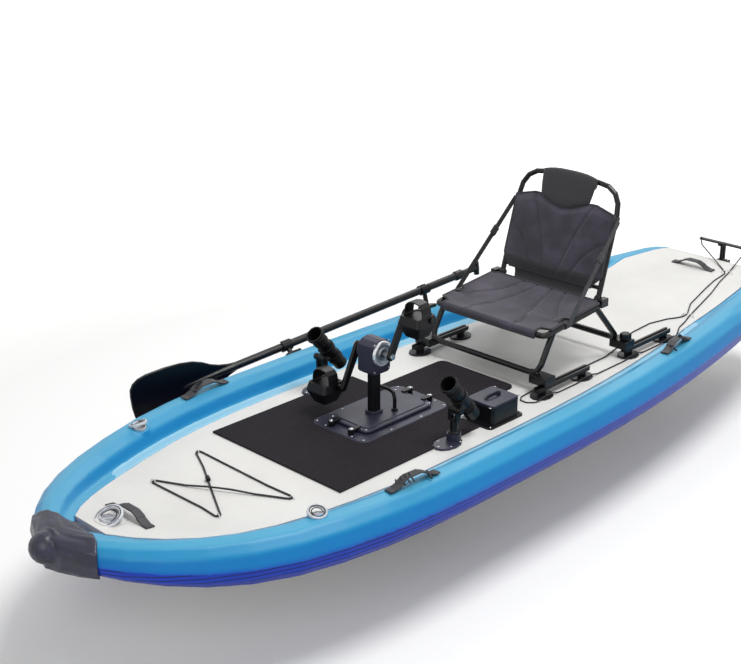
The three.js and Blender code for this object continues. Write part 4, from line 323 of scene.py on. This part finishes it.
# ---- Black plastic mouldings: rod holders, box, pedals, latches, clips, tracks, rudder
# The same moulding in black: satin, with a fine grain and slightly paler where hands rub it.
black_plastic, tree, shader = new_finish("Moulded black ABS", Roughness=0.36, **{"Specular IOR Level": 0.28})
spot = object_spot(tree)
grain = add_node(tree, "TexNoise", {"Vector": spot, "Scale": 300.0, "Detail": 4.0})
rub = add_node(tree, "TexNoise", {"Vector": spot, "Scale": 24.0, "Detail": 4.0})
tint(tree, shader, rub.outputs["Fac"], ((0.3, "#040405"), (0.6, "#08080B"), (0.85, "#131318")))
rub_gloss = add_node(tree, "MapRange", {"Value": rub.outputs["Fac"], "To Min": 0.3, "To Max": 0.46})
tree.links.new(rub_gloss.outputs[0], shader.inputs["Roughness"])
roughen(tree, shader, grain.outputs["Fac"], 0.25, 0.4, 3.0)

# ---- Painted tubes: seat frame and paddle
# Aluminium tube, bent and powder coated satin black, with the faint ripple that powder leaves.
painted_tube, tree, shader = new_finish(
    "Powder-coated aluminium tube", Roughness=0.26, **{"Specular IOR Level": 0.35})
spot = object_spot(tree)
ripple = add_node(tree, "TexNoise", {"Vector": spot, "Scale": 120.0, "Detail": 2.0})
tint(tree, shader, ripple.outputs["Fac"], ((0.35, "#040405"), (0.7, "#0C0C0F")))
roughen(tree, shader, ripple.outputs["Fac"], 0.12, 0.3, 7.0)

# ---- Valves
# Ring and bayonet cap moulded in pale grey nylon. Air and water stains gather round the cap's bar.
valve_plastic, tree, shader = new_finish("Moulded grey nylon", Roughness=0.38)
spot = object_spot(tree)
stain = add_node(tree, "TexNoise", {"Vector": spot, "Scale": 60.0, "Detail": 5.0})
tint(tree, shader, stain.outputs["Fac"], ((0.3, "#A9ACB2"), (0.55, "#C6C9CE"), (0.8, "#DDDFE2")))
roughen(tree, shader, stain.outputs["Fac"], 0.15, 0.4)

# ---- Bearing cap
# Turned aluminium, left bright: fine rings from the lathe, and a tone that darkens from the rim in towards
# the hub.
column_x, crank_z, ring_pitch = 405, 340, 2.2


def place(x, y, z):
    return Vector((x, y, z)) * MM


cap_metal, tree, shader = new_finish("Turned aluminium", Metallic=1.0, Roughness=0.4)
spot = object_spot(tree)
turned_middle = add_node(tree, "VectorMath", {0: spot, 1: place(column_x, 40, crank_z)}, operation="SUBTRACT")
turned_axes = add_node(tree, "SeparateXYZ", {"Vector": turned_middle.outputs[0]})
flat_place = add_node(tree, "CombineXYZ", {"X": turned_axes.outputs["X"], "Z": turned_axes.outputs["Z"]})
reach = add_node(tree, "VectorMath", {0: flat_place.outputs[0]}, operation="LENGTH")
lathe_rings = add_node(tree, "Math", {
    0: reach.outputs["Value"], 1: 2 * math.pi / (ring_pitch * MM)}, operation="MULTIPLY")
lathe_wave = add_node(tree, "Math", {0: lathe_rings.outputs[0]}, operation="SINE")
bright = add_node(tree, "MapRange", {"Value": reach.outputs["Value"], "From Min": 0.012, "From Max": 0.043})
tint(tree, shader, bright.outputs[0], (
    (0.0, "#5A5C63"), (0.3, "#8F929A"), (0.62, "#9FA2AA"), (0.8, "#D9DBDF"), (1.0, "#F0F1F3"),
))
roughen(tree, shader, lathe_wave.outputs[0], 0.2, 0.2)

# ---- Gears, spindle and screws
# Ground and polished stainless steel, with fine scratches.
steel, tree, shader = new_finish("Ground stainless steel", Metallic=1.0, Roughness=0.25)
spot = object_spot(tree)
scratch = add_node(tree, "TexNoise", {"Vector": spot, "Scale": 500.0, "Detail": 3.0})
tint(tree, shader, scratch.outputs["Fac"], ((0.3, "#A3A5A8"), (0.7, "#D2D4D6")))
roughen(tree, shader, scratch.outputs["Fac"], 0.15, 0.1)

# ---- Finishes of the CAD pieces
# Every CAD piece that stays in view gets its finish here; what isn't named is moulded in black plastic. The
# pieces that softer meshes stand for are left alone.
finish_of = {
    deck_fabric: ["floor_board"], pad_foam: ["deck_pad"],
    slate_plastic: [
        "well_frame", "drive_plate", "gear_head", "box_lid", "port_rod_foot", "starboard_rod_foot",
    ],
    painted_tube: ["seat_base_frame", "seat_back_frame", "paddle_blade", "paddle_grip"],
    valve_plastic: ["port_valve_cap", "starboard_valve_cap", "bow_valve_cap"],
    cap_metal: ["bearing_cap"], steel: ["crank_spindle", "drive_shaft"],
}
for finish, names in finish_of.items():
    for name in names:
        nodes[name].data.materials.clear()
        nodes[name].data.materials.append(finish)
replaced_later = {
    "port_side_tube", "starboard_side_tube", "bow_bumper", "seat_panel", "back_panel", "port_side_strap",
    "starboard_side_strap", "bungee_cord", "steering_line", "bow_handle", "stern_handle", "port_front_handle",
    "starboard_front_handle", "port_rear_handle", "starboard_rear_handle",
}
for name, node in nodes.items():
    if name not in replaced_later and not any(name in names for names in finish_of.values()):
        node.data.materials.clear()
        node.data.materials.append(black_plastic)


# ---- Screws
# Stainless pan-head screws with a hex socket, each pulled down on a washer. They hold every moulding to the
# hull's welded plates and to its neighbours.
def revolve(form, profile, sides, matrix):
    """Adds a profile of (radius, height) pairs, turned about Z, to a bmesh."""
    rings = []
    for radius, height in profile:
        if radius < 1e-7:
            rings.append([form.verts.new((0, 0, height))])
        else:
            turns = [2 * math.pi * k / sides for k in range(sides)]
            rings.append([
                form.verts.new((radius * math.cos(turn), radius * math.sin(turn), height)) for turn in turns
            ])
    for low, high in zip(rings, rings[1:]):
        for k in range(sides):
            nearby = (k + 1) % sides
            corners = [low[k % len(low)], low[nearby % len(low)]]
            corners += [high[nearby % len(high)], high[k % len(high)]]
            unique = list(dict.fromkeys(corners))
            if len(unique) > 2:
                form.faces.new(unique)
    bmesh.ops.transform(form, matrix=matrix, verts=[v for ring in rings for v in ring])


def finish_mesh(form, name, body, material, smooth_angle=40):
    bmesh.ops.recalc_face_normals(form, faces=form.faces)
    mesh = bpy.data.meshes.new(name)
    form.to_mesh(mesh)
    form.free()
    mesh.shade_smooth()
    mesh.set_sharp_from_angle(angle=math.radians(smooth_angle))
    return link(mesh, name, body, material)


def standing(point, direction):
    """A matrix whose Z runs along direction, at point."""
    turn = Vector(direction).normalized().to_track_quat("Z", "Y").to_matrix().to_4x4()
    return Matrix.Translation(point) @ turn


def screws(name, body, places, radius_mm):
    form = bmesh.new()
    r = radius_mm * MM
    head = (
        (0, -0.3 * r), (1.35 * r, -0.3 * r), (1.35 * r, 0.16 * r), (1.0 * r, 0.18 * r), (1.0 * r, 0.5 * r),
        (0.82 * r, 0.68 * r), (0.48 * r, 0.74 * r), (0.44 * r, 0.3 * r), (0, 0.26 * r),
    )
    for point, direction in places:
        revolve(form, head, 12, standing(point, direction))
    return finish_mesh(form, name, body, steel)


up, to_port, forward = Vector((0, 0, 1)), Vector((0, 1, 0)), Vector((1, 0, 0))
well_x, plate_top, flange_top, latch_top = 370, 121.6, 110.3, 127.9
rod_foot_x, rod_y, rod_foot_top = 382, 300, 107.3
box_x, box_y, box_flange_top, lid_top = 125, 268, 106.3, 170.3
screws("plate_screws", "hull", [
    (place(well_x + end * 148, side * 76, plate_top), up) for end in (-1, 1) for side in (-1, 1)
], 3.2)
screws("flange_screws", "hull", [
    (place(well_x + x, side * y, flange_top), up)
    for side in (-1, 1) for x, y in ((-196, 60), (196, 60), (-190, 106), (190, 106), (-70, 113), (70, 113))
], 3.0)
for end, side, body in (
    (1, 1, "front_port_swivel"), (1, -1, "front_starboard_swivel"),
    (-1, 1, "rear_port_swivel"), (-1, -1, "rear_starboard_swivel"),
):
    middle = place(well_x + end * 186, side * 45, latch_top)
    screws(body.replace("swivel", "latch_screw"), body, [(middle, up)], 6.0)
for side, label in ((-1, "starboard"), (1, "port")):
    screws(f"{label}_rod_foot_screws", "hull", [
        (place(rod_foot_x + x, side * rod_y + y, rod_foot_top), up)
        for x, y in ((44, 0), (14, 28), (14, -28), (-32, 25), (-32, -25))
    ], 3.0)
    arm_face = Vector((0, side, 0))
    screws(f"{label}_crank_bolt", "crank", [(place(column_x, side * 80.2, crank_z), arm_face)], 7.5)
screws("box_flange_screws", "hull", [
    (place(box_x + x, box_y + y, box_flange_top), up) for x in (-78, 78) for y in (-58, 58)
], 2.6)
screws("gear_head_screws", "hull", [
    (place(column_x + x, 35, z), to_port) for x in (-33, 33) for z in (282, 376)
], 2.6)


# ---- Rod cup bands and box lid screws
# Each cup is stiffened by moulded bands, the widest of them where it is clamped. The lid's rim is screwed.
cup_axis = Vector((0.656, 0, 0.755)).normalized()
band_bore = 24.6
bands = (
    (9, 31.6, 5), (26, 27.2, 3), (36, 27.2, 3), (46, 27.2, 3), (84, 29.5, 16), (128, 27.2, 3),
    (138, 27.2, 3), (148, 27.2, 3),
)
for side, label in ((1, "port"), (-1, "starboard")):
    mouth = place(386.3, side * rod_y, 309.4)
    band_form = bmesh.new()
    for back, radius, width in bands:
        r, h, edge = radius * MM, width / 2 * MM, 0.8 * MM
        revolve(band_form, (
            (band_bore * MM, -h), (r - edge, -h), (r, -h + edge),
            (r, h - edge), (r - edge, h), (band_bore * MM, h),
        ), 40, standing(mouth - cup_axis * back * MM, cup_axis))
    finish_mesh(band_form, f"{label}_cup_bands", f"{label}_rod_cup", black_plastic)
screws("lid_screws", "lid", [
    (place(box_x + x, box_y + y, lid_top), up) for x in (-72, 72) for y in (-50, 50)
], 3.0)


# ---- Tube valves and deck valve
# Each ring is welded to its chamber and has dark sealing rings inside it. The cap with its grip bar is the
# CAD piece, and turns in the ring.
def patch_frame(node_name):
    """Centre and outward direction of a small round piece that lies on the hull."""
    mesh = nodes[node_name].data
    middle = sum((v.co for v in mesh.vertices), Vector()) / len(mesh.vertices)
    widest = Vector()
    for face in mesh.polygons:
        if face.normal.z > 0:
            widest += face.normal * face.area
    return middle, widest.normalized()


seal_black, tree, shader = new_finish("Sealing rubber", Roughness=0.6)
spot = object_spot(tree)
dust = add_node(tree, "TexNoise", {"Vector": spot, "Scale": 200.0})
tint(tree, shader, dust.outputs["Fac"], ((0.3, "#101114"), (0.8, "#2C2D33")))
for cap, ring_mm, cap_mm, rise_mm in (
    ("port_valve_cap", 29, 22, 5), ("starboard_valve_cap", 29, 22, 5), ("bow_valve_cap", 44, 31, 9),
):
    middle, outward = patch_frame(cap)
    reaches = [(v.co - middle).dot(outward) for v in nodes[cap].data.vertices]
    rim = middle + outward * (max(reaches) - rise_mm * MM)
    seat_form = bmesh.new()
    ring_r, cap_r = ring_mm * MM, cap_mm * MM
    revolve(seat_form, (
        (cap_r + 1.2 * MM, -4 * MM), (cap_r + 1.2 * MM, 2.6 * MM), (cap_r + 2.2 * MM, 3.4 * MM),
        (ring_r - 5 * MM, 3.6 * MM), (ring_r - 3.4 * MM, 4.4 * MM), (ring_r - 1.4 * MM, 4.2 * MM),
        (ring_r + 0.4 * MM, 2.4 * MM), (ring_r + 0.6 * MM, -3 * MM),
    ), 48, standing(rim, outward))
    finish_mesh(seat_form, cap.replace("cap", "ring"), "hull", valve_plastic)
    seal_form = bmesh.new()
    revolve(seal_form, (
        (cap_r - 4.4 * MM, 0.2 * MM), (cap_r - 5.4 * MM, 1.6 * MM),
        (cap_r - 7 * MM, 1.6 * MM), (cap_r - 8 * MM, 0.2 * MM),
    ), 40, standing(rim, outward))
    revolve(seal_form, (
        (ring_r - 8.4 * MM, 3.4 * MM), (ring_r - 7.6 * MM, 4.5 * MM),
        (ring_r - 6.4 * MM, 4.5 * MM), (ring_r - 5.6 * MM, 3.5 * MM),
    ), 48, standing(rim, outward))
    finish_mesh(seal_form, cap.replace("cap", "seal"), "hull", seal_black)


# ---- Bungee
# One loop of shock cord, braided over rubber strands, laced as a cross through four webbing eyelets on the
# fore deck. It is stretched, so its runs are straight; a spring cord lock sits on one run.
def stations(text):
    """Points from x,y,z triples in tenths of a millimetre."""
    return [tuple(int(c) * MM / 10 for c in point.split(",")) for point in text.split()]


def piping(lines, radius_mm, name, body, finish, roundness=2):
    """Round cords, one along each line of points, as a single piece."""
    curve = bpy.data.curves.new(name, "CURVE")
    curve.dimensions = "3D"
    curve.bevel_depth = radius_mm * MM
    curve.bevel_resolution = roundness
    for line in lines:
        spline = curve.splines.new("POLY")
        spline.points.add(len(line) - 1)
        for point, here in zip(spline.points, line):
            point.co = (*here, 1)
    return link(curve, name, body, finish)


braid, tree, shader = new_finish("Braided polyester cord", Roughness=0.75)
spot = object_spot(tree)
weave = add_node(tree, "TexWave", {
    "Vector": spot, "Scale": 160.0, "Distortion": 1.0}, bands_direction="DIAGONAL")
fibre = add_node(tree, "TexNoise", {"Vector": spot, "Scale": 700.0, "Detail": 2.0})
strand = add_node(tree, "Math", {0: weave.outputs["Fac"], 1: fibre.outputs["Fac"]}, operation="MULTIPLY")
tint(tree, shader, strand.outputs[0], ((0.1, "#0E0E11"), (0.5, "#26262B"), (0.9, "#4A4A50")))
roughen(tree, shader, strand.outputs[0], 0.6, 0.6)
# The loop's stations, the centreline of the CAD's cord
LACED_ROUTE = """
9761,-2120,1032 9717,-2157,1032 9660,-2160,1032 9612,-2128,1032 9594,-2073,1032 9611,-1015,1032
9622,-295,1032 9627,43,1032 9632,382,1032 9644,1102,1032 9594,2073,1032 9612,2128,1032 9660,2160,1032
9717,2157,1032 9761,2120,1032 10288,1212,1045 10647,595,1101 10816,305,1101 10984,14,1101
11343,-603,1056 11769,-1470,1056 11813,-1507,1058 11870,-1510,1059 11918,-1478,1061 11936,-1423,1062
11919,-690,1061 11908,-191,1061 11903,43,1060 11898,278,1060 11886,777,1060 11936,1423,1062
11918,1478,1061 11870,1510,1059 11813,1507,1058 11769,1470,1056 11242,562,1039 10883,-55,1032
10714,-345,1032 10546,-636,1032 10187,-1253,1032
"""
bungee_route = stations(LACED_ROUTE)
bungee_radius = 3.0
# The loop starts at its last station and runs round almost to it again, since a cyclic curve reports a bound
# box that is too large. The lock sits on the run between the last two stations.
lock_low, lock_high = (Vector(station) for station in bungee_route[37:39])
loop = bungee_route[38:] + bungee_route[:38]
opened = loop + [tuple(Vector(loop[0]).lerp(Vector(loop[-1]), 0.02))]
bungee = piping([opened], bungee_radius, "bungee_loop", "hull", braid, 3)
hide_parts("bungee_cord")
lock_axis = (lock_high - lock_low).normalized()
lock_form = bmesh.new()
lock_half, lock_radius = 12 * MM, 7.2 * MM
lock_profile = (
    (0, -1), (0.8, -1), (1, -0.8), (1, 0.3), (0.8, 0.36),
    (0.8, 0.5), (0.95, 0.56), (0.95, 0.9), (0.75, 1), (0, 1),
)
revolve(lock_form, [
    (lock_radius * out, lock_half * height) for out, height in lock_profile
], 20, standing(lock_low.lerp(lock_high, 0.4) + up * 4.5 * MM, lock_axis))
cord_lock = finish_mesh(lock_form, "cord_lock", "hull", black_plastic)


# ---- Steering line
# One length of braided line. It ends at both tips of the rudder's yoke, passes through two webbing eyelets
# on the aft deck, and runs forward beside the port tracks, where the paddler pulls either side of its loop.
# The line's stations, the centreline of the CAD's line from one tip of the yoke to the other
LINE_ROUTE = """
-17374,1047,2250 -17374,1047,2089 -17230,1082,1925 -15229,1578,1710 -14144,1836,1664 -13212,2057,1502
-12377,2184,1354 -11092,2378,1139 -10658,2482,1066 -10031,2633,1050 -9971,2654,1049 -9204,3022,1033
-9087,3050,1061 -8959,3050,1092 -8261,3050,1091 -8138,3050,1061 -8010,3050,1028 -6950,3050,1028
-6827,3050,1058 -6699,3050,1091 -6001,3050,1091 -5878,3050,1061 -5750,3050,1028 -4100,3050,1028
-3977,3050,1058 -3849,3050,1091 -3151,3050,1091 -3028,3050,1061 -2900,3050,1028 -1840,3050,1028
-1717,3050,1058 -1589,3050,1091 -891,3050,1091 -768,3050,1061 -648,3018,1028 -534,2953,1028
-401,2800,1028 -420,2533,1028 -655,2389,1028 -1388,2331,1028 -5570,2330,1028 -6983,2053,1028
-8290,1633,1028 -8372,1619,1028 -9553,1581,1041 -9645,1593,1042 -10446,1825,1059 -10544,1874,1061
-10624,1934,1062 -10940,2174,1113 -11239,2207,1163 -11962,1878,1284 -12042,1854,1298 -12374,1807,1354
-13394,1661,1534 -14106,1590,1660 -15100,1492,1704 -15298,1388,1718 -17278,-934,1930 -17374,-1047,2089
-17374,-1047,2250
"""
line_step, line_radius, deck_end_x, yoke_x = 20 * MM, 2.5, -1.53, -1.735
line_stations = stations(LINE_ROUTE)
line_route = line_stations[:1]
for station in line_stations[1:]:
    before, here = Vector(line_route[-1]), Vector(station)
    steps = max(1, math.ceil((here - before).length / line_step))
    line_route += [tuple(before.lerp(here, k / steps)) for k in range(1, steps + 1)]
# A blend needs a plain mesh that rides on no body
line_curve = piping([line_route], line_radius, "steering_run", None, braid, 3)
line_curve.data.use_fill_caps = True
bpy.context.view_layer.update()
line_solid = line_curve.evaluated_get(bpy.context.evaluated_depsgraph_get())
line_mesh = bpy.data.meshes.new_from_object(line_solid)
bpy.data.objects.remove(line_curve)
line_mesh.materials.clear()
steering = link(line_mesh, "steering_cord", material=braid)
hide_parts("steering_line")
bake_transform(steering)


# ---- Carry handles
# Webbing folded into a strip and arched over a finger gap, all in the rubber of its grip. Ribs are moulded
# across the four side handles; the bow and stern ones are plain.
ribbed_rubber, tree, shader = new_finish("Ribbed grip rubber", Roughness=0.55)
spot = object_spot(tree)
worn = add_node(tree, "TexNoise", {"Vector": spot, "Scale": 90.0, "Detail": 4.0})
tint(tree, shader, worn.outputs["Fac"], ((0.3, "#111114"), (0.75, "#2A2A30")))
roughen(tree, shader, worn.outputs["Fac"], 0.3, 0.4)

handle_width, handle_bar, grip_ribs = 32.0, 5.0, 9
for name in (
    "bow_handle", "stern_handle", "port_front_handle", "starboard_front_handle", "port_rear_handle",
    "starboard_rear_handle",
):
    grip = smooth_copy(name, name.replace("handle", "grip"), "hull", 1.8, 2, ribbed_rubber)
    if name in ("bow_handle", "stern_handle"):
        continue
    low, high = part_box(name)
    middle = (Vector(low) + Vector(high)) / 2
    points = [v.co for v in nodes[name].data.vertices]
    far = max(points, key=lambda p: (p - middle).length)
    other_end = max(points, key=lambda p: (p - far).length)
    run = (other_end - far).normalized()
    ends = sorted(points, key=lambda p: (p - middle).dot(run))
    first = sum(ends[:6], Vector()) / 6
    last = sum(ends[-6:], Vector()) / 6
    along = (last - first).normalized()
    top = max(points, key=lambda p: ((p - first) - along * (p - first).dot(along)).dot(up))
    rise = top - first
    upward = (rise - along * rise.dot(along)).normalized()
    across = along.cross(upward).normalized()
    turn = Matrix((along, across, upward)).transposed().to_4x4()
    arch = [(0.22 + 0.56 * k / (grip_ribs - 1)) for k in range(grip_ribs)]
    rib_form = bmesh.new()
    skin = BVHTree.FromPolygons([v.co for v in grip.data.vertices], [p.vertices for p in grip.data.polygons])
    for share in arch:
        probe = first.lerp(last, share) + upward * 0.06
        hit = skin.ray_cast(probe, -upward)[0]
        if hit is None:
            continue
        rib = Matrix.Translation(hit - upward * handle_bar / 2 * MM) @ turn @ Matrix.Diagonal(
            (3.2 * MM, (handle_width + 1.6) * MM, (handle_bar + 1.6) * MM, 1))
        bmesh.ops.create_cube(rib_form, size=1, matrix=rib)
    bmesh.ops.bevel(rib_form, geom=rib_form.edges[:], offset=0.9 * MM, segments=2, affect="EDGES")
    finish_mesh(rib_form, name.replace("handle", "grip_ribs"), "hull", ribbed_rubber)


# ---- Seat
# Woven polyester over foam, quilted by piped seams that fan out from the back of the seat. The back's panel
# is stretched on the front of its hoop, and a padded head rest is folded over the top.
seat_cloth, tree, shader = new_finish(
    "Woven seat cloth", Roughness=0.85, **{"Sheen Weight": 0.25, "Sheen Roughness": 0.5})
spot = object_spot(tree)
warp = add_node(tree, "TexWave", {"Vector": spot, "Scale": 115.0, "Distortion": 0.6}, bands_direction="Y")
weft = add_node(tree, "TexWave", {
    "Vector": spot, "Scale": 115.0, "Distortion": 0.6}, bands_direction="DIAGONAL")
cloth = add_node(tree, "Math", {0: warp.outputs["Fac"], 1: weft.outputs["Fac"]}, operation="ADD")
fade = add_node(tree, "TexNoise", {"Vector": spot, "Scale": 14.0, "Detail": 5.0})
cloth_share = add_node(tree, "MapRange", {
    "Value": cloth.outputs[0], "From Max": 2.0, "To Min": -0.16, "To Max": 0.16})
cloth_sum = add_node(tree, "Math", {0: fade.outputs["Fac"], 1: cloth_share.outputs[0]}, operation="ADD")
tint(tree, shader, cloth_sum.outputs[0], ((0.25, "#1E1B25"), (0.5, "#2F2B38"), (0.8, "#443F50")))
roughen(tree, shader, cloth.outputs[0], 0.5, 0.5)
edge_webbing, tree, shader = new_finish("Nylon webbing", Roughness=0.7, **{"Sheen Weight": 0.15})
spot = object_spot(tree)
rows = add_node(tree, "TexWave", {
    "Vector": spot, "Scale": 240.0, "Distortion": 0.5}, bands_direction="DIAGONAL")
tint(tree, shader, rows.outputs["Fac"], ((0.1, "#0B0B0D"), (0.8, "#232328")))
roughen(tree, shader, rows.outputs["Fac"], 0.5, 0.5)

# Each seam: how far out it starts and how much further it runs, its bend, and where it ends along the cushion
seams = ((0.14, 0.44, 1.5, 0.97), (0.4, 0.58, 1.8, 0.64))


def seam_across(seam, v):
    """How far out a fanning seam lies at a share of the cushion's length."""
    start, grow, bend, reach = seam
    return start + grow * (v / reach) ** bend


def seam_depth(u, v, half):
    """Depth, in mm, that the seams pull the cloth in at one spot."""
    depth = 0.0
    for seam in seams:
        if v <= seam[3] + 0.03:
            gap = (abs(u) - seam_across(seam, v)) * half
            depth += 3.2 * math.exp(-(gap / 7) ** 2)
    return depth


def quilt(name, body, columns, rows, sides):
    """A closed cushion from sides(u, v), which gives a point on its face and the point behind it."""
    form = bmesh.new()
    us = [-1 + 2 * k / columns for k in range(columns + 1)]
    vs = [k / rows for k in range(rows + 1)]
    pairs = [[sides(u, v) for u in us] for v in vs]
    face, back = ([[form.verts.new(pair[i]) for pair in row] for row in pairs] for i in (0, 1))
    for j in range(rows):
        for k in range(columns):
            form.faces.new((face[j][k], face[j][k + 1], face[j + 1][k + 1], face[j + 1][k]))
            form.faces.new((back[j + 1][k], back[j + 1][k + 1], back[j][k + 1], back[j][k]))
    rim = [(0, k) for k in range(columns)] + [(j, columns) for j in range(rows)]
    rim += [(rows, k) for k in range(columns, 0, -1)] + [(j, 0) for j in range(rows, 0, -1)]
    for (j, k), (m, n) in zip(rim, rim[1:] + rim[:1]):
        form.faces.new((face[j][k], back[j][k], back[m][n], face[m][n]))
    return finish_mesh(form, name, body, seat_cloth, 70)


def seam_lines(sides):
    """The seams' runs on a cushion, both sides of the middle."""
    lines = []
    for seam in seams:
        for side in (1, -1):
            shares = [0.07 + (seam[3] - 0.07) * k / 30 for k in range(31)]
            lines.append([tuple(sides(side * min(seam_across(seam, v), 0.98), v)[0]) for v in shares])
    return lines


# Seat panel: sagging between the rails, wrapped round the front one, notched for hinges and straps
rail_rear, rail_front, rail_drop, rail_low, rail_radius = -486.0, -172.0, 28.0, 292.0, 11.6
seat_rear, seat_thick = -494, 5.4
seat_half, front_half, strap_x, roll_share = 249.0, 210.0, -290.0, 0.88


def seat_half_at(x):
    half = seat_half
    half -= 24 * max(0.0, min(1.0, (18 - abs(x - strap_x)) / 4))
    half -= (seat_half - front_half) * max(0.0, min(1.0, (x + 204) / 8))
    return half - 20 * max(0.0, min(1.0, (-480 - x) / 4))


def seat_sides(u, v):
    if v > roll_share:
        turned = math.radians(90 - 140 * (v - roll_share) / (1 - roll_share))
        y = u * front_half
        return tuple(
            place(rail_front + r * math.cos(turned), y, rail_low + r * math.sin(turned))
            for r in (rail_radius + seat_thick, rail_radius)
        )
    share = v / roll_share
    x = seat_rear + (rail_front - seat_rear) * share
    rail = rail_low + rail_drop * (rail_front - x) / (rail_front - rail_rear)
    crown = max(0.0, 1 - abs(u) ** 5) * max(0.0, math.sin(math.pi * share)) ** 0.5
    low = rail + rail_radius - 21 * crown
    high = low + seat_thick + 8 * crown - seam_depth(u, v, seat_half) * min(1.0, 4 * crown)
    y = u * seat_half_at(x)
    return place(x, y, high), place(x, y, low)


seat_cushion = quilt("seat_cushion", "seat_base", 90, 90, seat_sides)
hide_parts("seat_panel")

# Back panel: stretched on the front of the hoop, cut down under the head pad and out to the shoulders
lean = math.radians(16)
hinge = place(-512, 0, 334)
back_up = Vector((-math.sin(lean), 0, math.cos(lean)))
back_out = Vector((math.cos(lean), 0, math.sin(lean)))
back_half, back_foot, hoop_front = 221.0, 30.0, 10.4


def on_back(height, across, out):
    return hinge + (back_up * height + back_out * out + to_port * across) * MM


def back_top(u):
    near = min(1.0, abs(u) / 0.56)
    far = max(0.0, (abs(u) - 0.62) / 0.38)
    return 292 + 32 * near * near * (3 - 2 * near) - 22 * far


def back_sides(u, v):
    height = back_foot + (back_top(u) - back_foot) * v
    foot = max(0.0, min(1.0, (height - back_foot) / 52))
    half = back_half * (0.84 + 0.16 * foot * foot * (3 - 2 * foot))
    crown = max(0.0, 1 - abs(u) ** 6) * min(1.0, 9 * v, 9 * (1 - v))
    out = hoop_front + 6 + 10.5 * crown - seam_depth(u, v, back_half) * crown
    return on_back(height, u * half, out), on_back(height, u * half, hoop_front)


back_cushion = quilt("back_cushion", "seat_back", 90, 90, back_sides)

# Head pad: a small pillow folded over the top of the hoop, its lower edge bowed
head_half, head_top, hoop_top = 118.0, 425.0, 402.0


def head_sides(u, v):
    half = head_half * (1 - 0.1 * (1 - v) ** 2)
    low = back_top(u * half / back_half) - 7
    arch = 1 - 0.6 * abs(u) ** 3
    height = low + (hoop_top + (head_top - hoop_top) * arch - low) * v
    round_off = max(0.0, 1 - (2 * v - 1) ** 6) ** 0.5 * max(0.0, 1 - abs(u) ** 7) ** 0.5
    front = 18.4 + 9.5 * round_off
    back = 17.6 - 34.5 * round_off * max(0.0, min(1.0, (height - 366) / 14))
    return on_back(height, u * half, front), on_back(height, u * half, back)


head_rest = quilt("head_rest", "seat_back", 40, 40, head_sides)
head_rest.data.materials[0] = edge_webbing
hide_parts("back_panel")
piping(seam_lines(seat_sides), 1.5, "seat_seams", "seat_base", edge_webbing)
piping(seam_lines(back_sides), 1.5, "back_seams", "seat_back", edge_webbing)


# ---- Seat edge bindings
# Black tape sewn round the edges of both panels, and a dark band across the foot of the back.
def edge_run(sides, inset=0.985, steps=60):
    """Round a cushion's edge, a little inside it."""
    run = [(-inset + 2 * inset * k / steps, 0.01) for k in range(steps + 1)]
    run += [(inset, 0.01 + 0.98 * k / steps) for k in range(1, steps + 1)]
    run += [(inset - 2 * inset * k / steps, 0.99) for k in range(1, steps + 1)]
    run += [(-inset, 0.99 - 0.98 * k / steps) for k in range(1, steps + 1)]
    return [tuple(sides(u, v)[0]) for u, v in run]


for name, body, sides in (
    ("seat_binding", "seat_base", seat_sides), ("back_binding", "seat_back", back_sides),
):
    piping([edge_run(sides)], 2.6, name, body, edge_webbing)


def band_sides(u, v):
    face = back_sides(u * 0.97, 0.02 + 0.14 * v)[0]
    return face + back_out * 1.6 * MM, face - back_out * 1.0 * MM


foot_band = quilt("back_foot_band", "seat_back", 40, 6, band_sides)
foot_band.data.materials[0] = edge_webbing


# ---- Lumbar cloth
# Black cloth sewn from the foot of the back to the rear edge of the seat, so that nothing slips through.
def lumbar_sides(u, v):
    half = 150 + 18 * v
    seat_point = place(-496.5, u * half, 330)
    back_point = on_back(44, u * half, 9)
    sag = math.sin(math.pi * v) * 5 * MM
    point = seat_point.lerp(back_point, v) - forward * sag
    return point + forward * 0.7 * MM, point - forward * 0.7 * MM


lumbar = quilt("lumbar_cloth", None, 24, 10, lumbar_sides)
lumbar.data.materials[0] = edge_webbing
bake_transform(lumbar)


# ---- Side straps
# Webbing from the hoop to the seat rail on each side, with a slide buckle; it holds the back at its lean.
for side, label in ((1, "port"), (-1, "starboard")):
    strap = smooth_copy(f"{label}_side_strap", f"{label}_strap_webbing", None, 1.4, 1, edge_webbing)
    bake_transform(strap)
